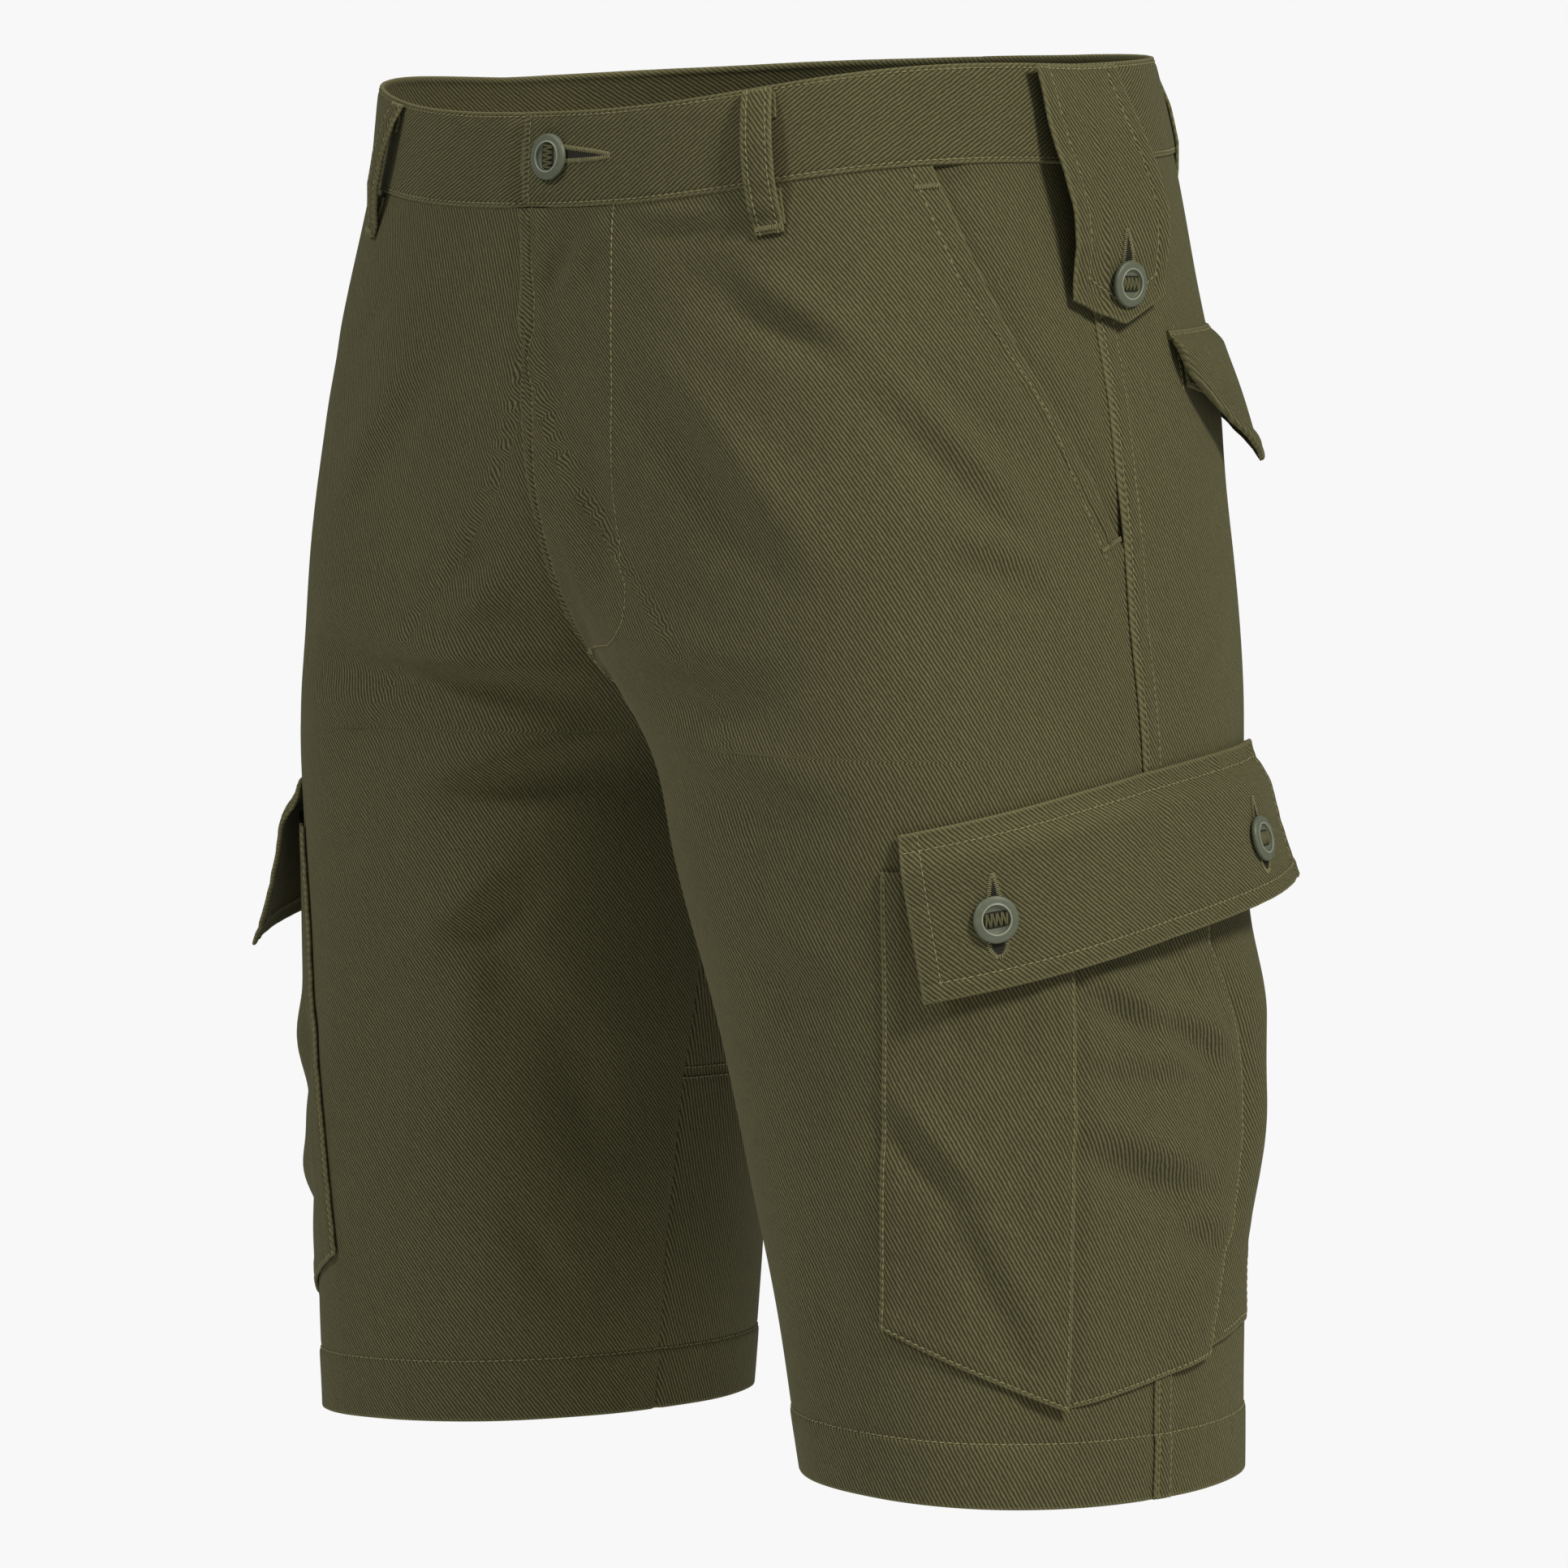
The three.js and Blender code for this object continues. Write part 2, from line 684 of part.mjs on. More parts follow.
// A button lies on a cloth face, turned to its slope: place gives the face's outer points.
function button(name, face, u, v) {
  const step = 0.02;
  const middle = face(u, v);
  const across = face(u + step, v).sub(face(u - step, v));
  const down = face(u, v + step).sub(face(u, v - step));
  const out = across.cross(down).normalize();
  const fromAxis = new THREE.Vector3(middle.x, middle.y, 0);
  if (out.dot(fromAxis) < 0) out.negate();
  const mesh = new THREE.Mesh(buttonGeometry(), horn);
  mesh.name = name;
  mesh.position.copy(middle).addScaledVector(out, 0.3);
  mesh.quaternion.setFromUnitVectors(new THREE.Vector3(0, 1, 0), out);
  return mesh;
}

const waistButton = { fromFront: 13, z: -18 };

function waistButtonPiece() {
  const face = (u, v) => {
    const z = bandZ(v);
    return at(left, acrossFront(z) + u * 100, z, bandLift + thick.band + 0.15);
  };
  return button("button_waist", face, waistButton.fromFront / 100, -waistButton.z / waistHeight);
}

function tabButtonPiece(side) {
  const face = (u, v) => {
    const z = mix(0, tabPoint.z, v);
    const lift = along(tabPath, "z", z, "lift") + tabLean * 0.1;
    return at(side, tabButton.across + (u - 0.5) * 40, z, lift + thick.tab + 0.3);
  };
  return button(`button_tab_${sideName(side)}`, face, 0.5, tabButton.z / tabPoint.z);
}

function cargoButtonPiece(side, { name, across, down }) {
  const width = flapEdge.rear - flapEdge.front;
  const face = (u, v) => {
    const place = mix(flapEdge.front, flapEdge.rear, u);
    const lift = cargoFlapLift(side, u, v) + thick.flap + 0.2;
    return at(side, place, flapTopZ(place) - v * flapHeightAt(u), lift);
  };
  const u = (across - flapEdge.front) / width;
  return button(`button_cargo_${name}_${sideName(side)}`, face, u, down);
}

const shorts = new THREE.Group();
shorts.name = "cargo_shorts";
shorts.add(waistbandLeft(), waistbandRight(), waistButtonPiece(), backCentreLoop());
shorts.add(...loopPlaces.map(beltLoop));
for (const side of [left, right]) {
  shorts.add(frontPanel(side), backPanel(side), hipFacing(side));
  shorts.add(sideTab(side), tabButtonPiece(side));
  shorts.add(cargoFront(side), cargoRear(side), cargoGusset(side), cargoFlap(side));
  for (const place of cargoButtons) shorts.add(cargoButtonPiece(side, place));
  shorts.add(backWeltPiece(side), backFlapPiece(side));
}

export default shorts;
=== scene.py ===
import math

import bpy
import numpy as np
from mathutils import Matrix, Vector


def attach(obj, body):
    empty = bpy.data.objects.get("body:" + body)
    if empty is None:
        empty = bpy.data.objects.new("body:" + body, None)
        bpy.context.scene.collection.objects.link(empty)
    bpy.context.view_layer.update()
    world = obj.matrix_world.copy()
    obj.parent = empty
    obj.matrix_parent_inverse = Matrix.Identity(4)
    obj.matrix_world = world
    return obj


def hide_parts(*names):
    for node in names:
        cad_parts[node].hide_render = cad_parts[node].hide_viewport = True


# Worn, empty cargo shorts in olive cotton twill. The shapes are worked out in millimetres, on the
# same surface as the CAD part, and turned to metres when a mesh is made.
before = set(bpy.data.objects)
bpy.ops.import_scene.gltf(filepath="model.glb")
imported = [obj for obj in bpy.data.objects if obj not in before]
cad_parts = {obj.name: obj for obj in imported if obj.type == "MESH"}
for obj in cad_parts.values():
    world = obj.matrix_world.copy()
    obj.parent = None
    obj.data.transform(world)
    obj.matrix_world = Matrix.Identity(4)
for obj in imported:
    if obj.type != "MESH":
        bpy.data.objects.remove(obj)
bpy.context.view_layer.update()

mm = 0.001
left = 1
right = -1
sideNames = {left: "left", right: "right"}

body = {
    "columns": "z out inn front back side inseam drop rise slope frontInner frontOuter rear",
    "rows": [
        (0, 160, -160, -125, 128, 8, 0, 18, 8, 0, 2.2, 2.5, 2.3),
        (-37, 164, -164, -127, 138, 8, 0, 17, 8, 0, 2.2, 2.55, 2.4),
        (-85, 172, -172, -127, 147, 9, 0, 14, 7, 0, 2.1, 2.95, 2.4),
        (-140, 183, -158, -125, 151, 9, -1, 10, 5, 0, 1.85, 3.2, 2.4),
        (-185, 190, -104, -121, 148, 9, -3, 6, 3, 0.01, 1.8, 3.2, 2.3),
        (-222, 195, -46, -116, 141, 8, -8, 3, 2, 0.015, 1.95, 3.0, 2.2),
        (-246, 198, -15, -113, 135, 8, -12, 1, 1, 0.02, 2.1, 2.9, 2.2),
        (-262, 200, 0, -111, 131, 8, -14, 0, 0, 0.02, 2.15, 2.8, 2.2),
        (-305, 203, 14, -106, 126, 7, -14, 0, 0, 0.025, 2.2, 2.6, 2.15),
        (-360, 207, 28, -100, 119, 6, -12, 0, 0, 0.03, 2.15, 2.5, 2.1),
        (-425, 210, 42, -94, 112, 4, -8, 0, 0, 0.035, 2.1, 2.4, 2.1),
        (-490, 212, 53, -89, 107, 2, -4, 0, 0, 0.04, 2.05, 2.3, 2.1),
        (-545, 213, 60, -85, 104, 0, 0, 0, 0, 0.04, 2.0, 2.3, 2.1),
    ],
    "panelTop": -38.3,
    "crotch": -262,
    "forkTop": -222,
    "hem": -545,
    "hemFold": 25,
    "mouthZ": (-38, -74, -110, -150, -186),
    "mouthAcross": (-70, -60, -45, -22, 0),
    "wall": 1.5,
    "seam": 0.3,
}

# Folds, each from one place to another in millimetres round from the side seam (the back is
# positive) and down, with a half width and a depth, negative inwards. Side 0 is both sides.
folds = [
    # side, fromAcross, fromZ, toAcross, toZ, width, depth
    (right, -120, -232, -235, -236, 12, -3.5),
    (right, -110, -250, -230, -247, 12, 3),
    (right, -150, -270, -250, -252, 11, -3),
    (right, -130, -205, -215, -212, 13, 2),
    (left, -120, -232, -235, -236, 13, -1.5),
    (left, -185, -64, -140, -88, 12, -2),
    (left, -115, -100, -30, -170, 11, -2.2),
    (left, -205, -100, -165, -160, 12, -1.4),
    (right, -185, -330, -150, -440, 18, -1.8),
    (0, 90, -130, 150, -230, 18, -2),
]

# Finer creases in the same columns, which the weight of the cloth and its seams draw.
creases = [
    # the fly, drawn by its stitches
    (left, -210, -38, -264, -86, 5, -2.6),
    (left, -205, -40, -242, -76, 5, 2),
    (left, -239, -66, -243, -104, 6, 1.6),
    (left, -212, -48, -226, -76, 5, -1.8),
    (left, -262, -118, -264, -222, 9, 2.3),
    (left, -238, -122, -241, -212, 9, -2.3),
    # the right thigh and the inner half of its leg
    (right, -200, -200, -280, -206, 9, 2.2),
    (right, -207, -340, -252, -378, 10, -3),
    (right, -252, -368, -246, -450, 11, -3),
    (right, -209, -452, -226, -502, 8, -2),
    (right, -226, -318, -196, -420, 9, 2.2),
    (right, -190, -64, -130, -112, 9, -1.9),
    (right, -120, -100, -50, -168, 9, -2),
    # the lower left leg
    (left, -156, -430, -132, -510, 9, -1.8),
    (left, -88, -512, -20, -530, 6, -1.2),
    # the seat and the backs of the legs
    (0, 195, -226, 282, -252, 9, -3.5),
    (0, 186, -250, 276, -266, 9, 2.7),
    (0, 168, -276, 262, -284, 10, -3),
    (left, 120, -70, 205, -128, 10, -2.2),
    (right, 136, -62, 190, -112, 9, -2.4),
    (left, 112, -330, 170, -372, 10, -2.7),
    (right, 126, -352, 176, -330, 11, -2.4),
    (left, 196, -396, 150, -470, 11, -2.3),
    (right, 204, -380, 170, -452, 10, -2.6),
]

# Drapes, from front to back in the same columns: the cloth stands out in a soft roll above the line
# and falls in below it.
drapes = [
    # side, fromAcross, fromZ, toAcross, toZ, width, height
    (left, -162, -71, -106, -110, 9, 2.9),
    (left, -118, -106, -46, -186, 10, 2.9),
    (left, -212, -95, -138, -200, 15, 3.4),
    (left, -94, -177, -36, -197, 9, 2.1),
    (left, -266, -226, -148, -237, 15, 3.1),
    (left, -205, -45, -122, -52, 5, 1.7),
    (left, -250, -262, -120, -282, 12, 1.8),
    (left, -190, -330, -128, -352, 12, 1.7),
    (right, -300, -243, -158, -229, 13, 4.9),
    (right, -302, -264, -198, -289, 11, 4.5),
    (right, -252, -315, -194, -352, 10, 3.4),
    (right, -264, -182, -220, -213, 10, -2.3),
    (right, -180, -300, -120, -316, 12, 1.7),
    (right, -214, -92, -150, -176, 13, 2.1),
    # the cargo pockets, which sag under their flaps
    (left, -122, -384, -78, -432, 8, 2.6),
    (left, -98, -404, -50, -506, 9, 2.4),
    (left, -44, -343, 10, -369, 8, 3),
    (left, -4, -357, 50, -383, 8, 3),
    (left, -54, -375, 50, -386, 9, 1.6),
    (left, -56, -398, 48, -436, 11, 4.2),
    (left, 2, -435, 50, -453, 9, 2.6),
    (right, -116, -372, -70, -420, 9, 3),
    (right, -100, -436, -50, -474, 9, 2.9),
    (right, -50, -346, 26, -368, 9, 2.6),
    (right, -52, -388, 50, -414, 10, 2.9),
    (right, -24, -434, 48, -450, 9, 2),
    # the seat and the backs of the legs
    (0, 176, -216, 268, -240, 12, 3.1),
    (left, 112, -196, 190, -212, 12, 2.5),
    (right, 128, -186, 206, -206, 12, 2.7),
    (left, 130, -300, 216, -318, 11, 2.7),
    (right, 118, -312, 204, -300, 11, 2.5),
    (left, 148, -426, 226, -440, 11, 2.3),
    (right, 160, -440, 232, -424, 11, 2.5),
]


def smooth(x, start, end):
    t = np.clip((x - start) / (end - start), 0, 1)
    return t * t * (3 - 2 * t)


def mix(a, b, t):
    return a + (b - a) * t


bodyNames = body["columns"].split()
bodyTable = np.array(body["rows"], float)
bodyDown = -bodyTable[:, 0]


def tableSlopes():
    steps = np.diff(bodyDown)[:, None]
    rates = np.diff(bodyTable, axis=0) / steps
    slopes = np.vstack([rates[:1], rates[1:], rates[-1:]])
    slopes[1:-1] = (rates[:-1] * steps[1:] + rates[1:] * steps[:-1]) / (steps[:-1] + steps[1:])
    return slopes


bodySlopes = tableSlopes()


# The cross-section at any height, a smooth curve through the rows.
def sectionAt(z):
    down = np.clip(-z, bodyDown[0], bodyDown[-1])
    i = np.clip(np.searchsorted(bodyDown, down, side="right") - 1, 0, len(bodyDown) - 2)
    step = bodyDown[i + 1] - bodyDown[i]
    t = (down - bodyDown[i]) / step
    weights = (
        2 * t**3 - 3 * t**2 + 1,
        (t**3 - 2 * t**2 + t) * step,
        -2 * t**3 + 3 * t**2,
        (t**3 - t**2) * step,
    )
    columns = {}
    for k, name in enumerate(bodyNames):
        ends = (bodyTable[i, k], bodySlopes[i, k], bodyTable[i + 1, k], bodySlopes[i + 1, k])
        columns[name] = sum(weight * value for weight, value in zip(weights, ends))
    return columns


# Round is 0 at the centre front or inseam, 0.5 at the side seam and 1 at the centre back or inseam.
def angleAt(around, z):
    s = sectionAt(z)
    cut = np.clip((s["out"] + s["inn"]) / (s["out"] - s["inn"]), 0, 1)
    isFront = around < 0.5
    start = np.arccos(cut ** (np.where(isFront, s["frontInner"], s["rear"]) / 2))
    toFront = start + (math.pi - start) * 2 * around
    toBack = math.pi + (math.pi - start) * (2 * around - 1)
    return np.where(isFront, toFront, toBack)


def sectionPoint(side, angle, z):
    s = sectionAt(z)
    centre = (s["out"] + s["inn"]) / 2
    half = (s["out"] - s["inn"]) / 2
    isFront = angle < math.pi
    c = np.cos(angle)
    sn = np.sin(angle)
    power = 2 / np.where(isFront, np.where(c > 0, s["frontInner"], s["frontOuter"]), s["rear"])
    x = centre - half * np.sign(c) * np.abs(c) ** power
    reach = np.sign(sn) * np.abs(sn) ** power
    depth = np.where(isFront, s["side"] - s["front"], s["back"] - s["side"])
    y = s["side"] + s["inseam"] * (1 + c) / 2 - depth * reach
    edge = np.where(isFront, -s["drop"] * sn**3, s["rise"] * np.abs(reach) ** 1.2)
    return np.stack([side * (x + 0.15), y, z + edge - s["slope"] * (x - centre)], axis=-1)


def outward(side, around, z):
    angle = angleAt(around, z)
    a = sectionPoint(side, angle - 0.02, z)
    b = sectionPoint(side, angle + 0.02, z)
    up = sectionPoint(side, angle, np.minimum(z + 1, 0))
    down = sectionPoint(side, angle, np.maximum(z - 1, body["hem"]))
    out = np.cross(b - a, down - up)
    out /= np.linalg.norm(out, axis=-1, keepdims=True)
    return out * -np.asarray(side, float)[..., None]


# Distances round from the side seam, one ring for each millimetre of height.
ringCount = 160
ringZ = -np.arange(0, -body["hem"] + 1, 1.0)


def ringTable():
    around = np.linspace(0, 1, ringCount + 1)
    z = ringZ[:, None] + 0 * around
    points = sectionPoint(np.ones_like(z), angleAt(around + 0 * z, z), z)
    steps = np.linalg.norm(np.diff(points, axis=1), axis=-1)
    across = np.concatenate([np.zeros((len(ringZ), 1)), np.cumsum(steps, axis=1)], axis=1)
    return across - across[:, ringCount // 2 : ringCount // 2 + 1]


rings = ringTable()


def ringValue(z, column):
    down = np.clip(-z, 0, len(ringZ) - 1.001)
    i = down.astype(int)
    return mix(rings[i, column], rings[i + 1, column], down - i)


def acrossFront(z):
    z = np.asarray(z, float)
    return ringValue(z, np.zeros(z.shape, int))


def acrossBack(z):
    z = np.asarray(z, float)
    return ringValue(z, np.full(z.shape, ringCount))


def aroundAt(across, z):
    low = np.zeros(across.shape, int)
    high = np.full(across.shape, ringCount)
    for _ in range(8):
        middle = (low + high) // 2
        under = ringValue(z, middle) <= across
        low = np.where(under, middle, low)
        high = np.where(under, high, middle)
    high = np.maximum(high, low + 1)
    high = np.minimum(high, ringCount)
    low = np.minimum(low, high - 1)
    a = ringValue(z, low)
    b = ringValue(z, high)
    return np.clip((low + (across - a) / (b - a)) / ringCount, 0, 1)


# How far a place is below a line from 0 at its middle, in line widths, and how much of the line is
# there.
def lineAt(row, side, across, z):
    where, fromAcross, fromZ, toAcross, toZ, width, _ = row
    dx = toAcross - fromAcross
    dz = toZ - fromZ
    along = ((across - fromAcross) * dx + (z - fromZ) * dz) / (dx * dx + dz * dz)
    below = ((across - fromAcross) * dz - (z - fromZ) * dx) / math.hypot(dx, dz) / width
    ends = np.sin(math.pi * np.clip(along, 0, 1)) ** 1.5
    return below, ends * (1.0 if where == 0 else side == where)


def foldDepth(side, across, z):
    total = np.zeros(across.shape)
    for row in folds + creases:
        below, ends = lineAt(row, side, across, z)
        total += row[-1] * ends * np.exp(-below * below)
    for row in drapes:
        below, ends = lineAt(row, side, across, z)
        total -= row[-1] * ends * below * np.exp(0.5 - below * below) * math.sqrt(2)
    return total


# Soft unevenness of worn cloth: a few waves in directions of their own, the same on every run.
unevenness = {"waves": 14, "shortest": 34, "longest": 130, "height": 0.75, "seed": 7}


def unevenWaves():
    random = np.random.default_rng(unevenness["seed"])
    count = unevenness["waves"]
    length = random.uniform(unevenness["shortest"], unevenness["longest"], count)
    turn = random.uniform(0, math.pi, count)
    phase = random.uniform(0, 2 * math.pi, (2, count))
    return length, turn, phase


waveLengths, waveTurns, wavePhases = unevenWaves()


def unevenAt(side, across, z):
    total = np.zeros(across.shape)
    for i, length in enumerate(waveLengths):
        phase = np.where(side == left, wavePhases[0, i], wavePhases[1, i])
        place = across * math.cos(waveTurns[i]) + z * math.sin(waveTurns[i])
        total += np.sin(2 * math.pi * place / length + phase) * length / unevenness["longest"]
    return unevenness["height"] * total / math.sqrt(unevenness["waves"])


# A point round from the side seam and down, lifted off the smooth surface. Past the centre front it
# carries on round the other side.
def at(side, across, z, lift):
    across, z, lift = np.broadcast_arrays(
        np.asarray(across, float), np.asarray(z, float), np.asarray(lift, float)
    )
    front = acrossFront(z)
    over = (across < front) & (z > body["crotch"])
    sides = np.where(over, -side, side)
    placed = np.where(over, 2 * front - across, across)
    around = aroundAt(placed, z)
    points = sectionPoint(sides, angleAt(around, z), z)
    raised = lift + foldDepth(sides, placed, z) + unevenAt(sides, placed, z)
    return points + outward(sides, around, z) * raised[..., None]


# Sewing: what a row of stitches and the layers under it do to a cloth's surface

# Small waves that a sewn edge draws the cloth into, from 0 to 1 and never quite regular.
def puckers(along, seed=0, length=9.0):
    random = np.random.default_rng(seed + 11)
    total = np.zeros(np.shape(along))
    for factor in (0.71, 1.0, 1.37, 1.9):
        phase = random.uniform(0, 2 * math.pi)
        total = total + np.sin(2 * math.pi * np.asarray(along) / (length * factor) + phase)
    return total / 4


def groove(distance, row, depth=0.45, width=1.1):
    return -depth * np.exp(-(((distance - row) / width) ** 2))


# Turned-in layers under an edge, which end in a soft step.
def swell(distance, reach, height=0.5):
    return height * (1 - smooth(distance, reach - 1.2, reach + 1.6))


# Evenly spaced grid lines with closer ones where the surface changes fast, from 0 to 1.
def gridLines(length, step, close=()):
    marks = list(np.linspace(0, length, max(int(round(length / step)), 1) + 1))
    for place in (0, length, *close):
        marks += [place + off for off in (-2.2, -1.3, -0.7, -0.3, 0, 0.3, 0.7, 1.3, 2.2)]
    kept = []
    for mark in sorted(m for m in marks if 0 <= m <= length):
        if not kept or mark - kept[-1] > 0.22:
            kept.append(mark)
    kept[-1] = length
    return np.array(kept) / length


def meshObject(name, points, faces, material, uv=None, edge=None):
    mesh = bpy.data.meshes.new(name)
    mesh.from_pydata((np.asarray(points) * mm).tolist(), [], faces)
    mesh.update()
    mesh.polygons.foreach_set("use_smooth", [True] * len(mesh.polygons))
    if uv is not None:
        layer = mesh.uv_layers.new(name="UVMap")
        corners = np.zeros(len(mesh.loops), int)
        mesh.loops.foreach_get("vertex_index", corners)
        layer.data.foreach_set("uv", (np.asarray(uv)[corners] * mm).ravel())
    if edge is not None:
        attribute = mesh.attributes.new("edgeDistance", "FLOAT", "POINT")
        attribute.data.foreach_set("value", np.asarray(edge, float))
    mesh.materials.append(material)
    made = bpy.data.objects.new(name, mesh)
    bpy.context.scene.collection.objects.link(made)
    return made


# A closed wall of cloth between an outer and an inner face, with rolled edges. place takes u and v
# from 0 to 1 and gives across, z, the outer face's lift and the distance to the nearest free edge.
def clothSheet(name, side, place, us, vs, wall, material, sidesOf=None):
    u, v = np.meshgrid(us, vs)
    sides = side if sidesOf is None else sidesOf(u)
    across, z, lift, edge = (np.broadcast_to(part, u.shape) for part in place(u, v))
    radius = wall / 2
    near = np.clip(1 - edge / radius, 0, 1)
    roll = radius * (1 - np.sqrt(1 - near * near))
    outer = at(sides, across, z, lift - roll * 0.9).reshape(-1, 3)
    inner = at(sides, across, z, lift - wall + roll * 0.9).reshape(-1, 3)
    points = np.vstack([outer, inner])
    rows, columns = u.shape
    index = np.arange(rows * columns).reshape(rows, columns)
    front = np.stack([index[:-1, :-1], index[:-1, 1:], index[1:, 1:], index[1:, :-1]], -1)
    front = front.reshape(-1, 4)
    back = front[:, ::-1] + rows * columns
    rim = np.concatenate([index[0], index[1:, -1], index[-1, -2::-1], index[-2:0:-1, 0]])
    ahead = np.roll(rim, -1)
    around = np.stack([rim, rim + rows * columns, ahead + rows * columns, ahead], -1)
    faces = np.vstack([front, back, around])
    if side == left:
        faces = faces[:, ::-1]
    flat = np.stack([side * across, z], -1).reshape(-1, 2)
    uv = np.vstack([flat, flat])
    edges = np.concatenate([edge.ravel(), edge.ravel()])
    made = meshObject(name, points, faces.tolist(), material, uv, edges)
    return made


# A path of points and outward directions on a piece, for sewing. us run back and vs run down.
def pathOn(side, place, us, vs, near=0.004, step=2.0):
    us = np.asarray(us, float)
    vs = np.asarray(vs, float)
    us, vs = np.broadcast_arrays(us, vs)
    rough = at(side, *place(us, vs)[:3])
    lengths = np.concatenate([[0], np.cumsum(np.linalg.norm(np.diff(rough, axis=0), axis=1))])
    count = max(int(lengths[-1] / step), 2)
    where = np.linspace(0, lengths[-1], count + 1)
    u = np.interp(where, lengths, us)
    v = np.interp(where, lengths, vs)
    points = at(side, *place(u, v)[:3])
    du = at(side, *place(u + near, v)[:3]) - at(side, *place(u - near, v)[:3])
    dv = at(side, *place(u, v + near)[:3]) - at(side, *place(u, v - near)[:3])
    out = np.cross(du, dv)
    out /= np.linalg.norm(out, axis=-1, keepdims=True)
    out *= -side
    return points, out


# Colours and materials

def linear(text):
    parts = [int(text[i : i + 2], 16) / 255 for i in (1, 3, 5)]
    return tuple(c / 12.92 if c <= 0.04045 else ((c + 0.055) / 1.055) ** 2.4 for c in parts) + (1,)


def addNode(tree, kind, values=None, **settings):
    node = tree.nodes.new(kind)
    for key, value in settings.items():
        setattr(node, key, value)
    for key, value in (values or {}).items():
        if isinstance(value, bpy.types.NodeSocket):
            tree.links.new(value, node.inputs[key])
        else:
            node.inputs[key].default_value = value
    return node


def newMaterial(name):
    material = bpy.data.materials.new(name)
    material.use_nodes = True
    material.node_tree.nodes.clear()
    return material, material.node_tree


# Piece-dyed cotton twill with a peached face: matt, with diagonal ribs whose furrows are painted darker,
# partly the weave's own look and partly painted shade in the furrows, a soft bloom at grazing angles,
# dye that is never quite even, and a paler line along worn edges.
# Real ribs are about 1 mm apart; they are drawn 1.45 mm apart, the finest that shows in the render.
twill = {
    "rib": "#706d4b",
    "furrowPaintedShade": "#343321",
    "worn": "#7d7a56",
    "spacing": 1.45,
    "ribHeight": 0.11,
    "roughness": 0.93,
    "sheen": 0.12,
}


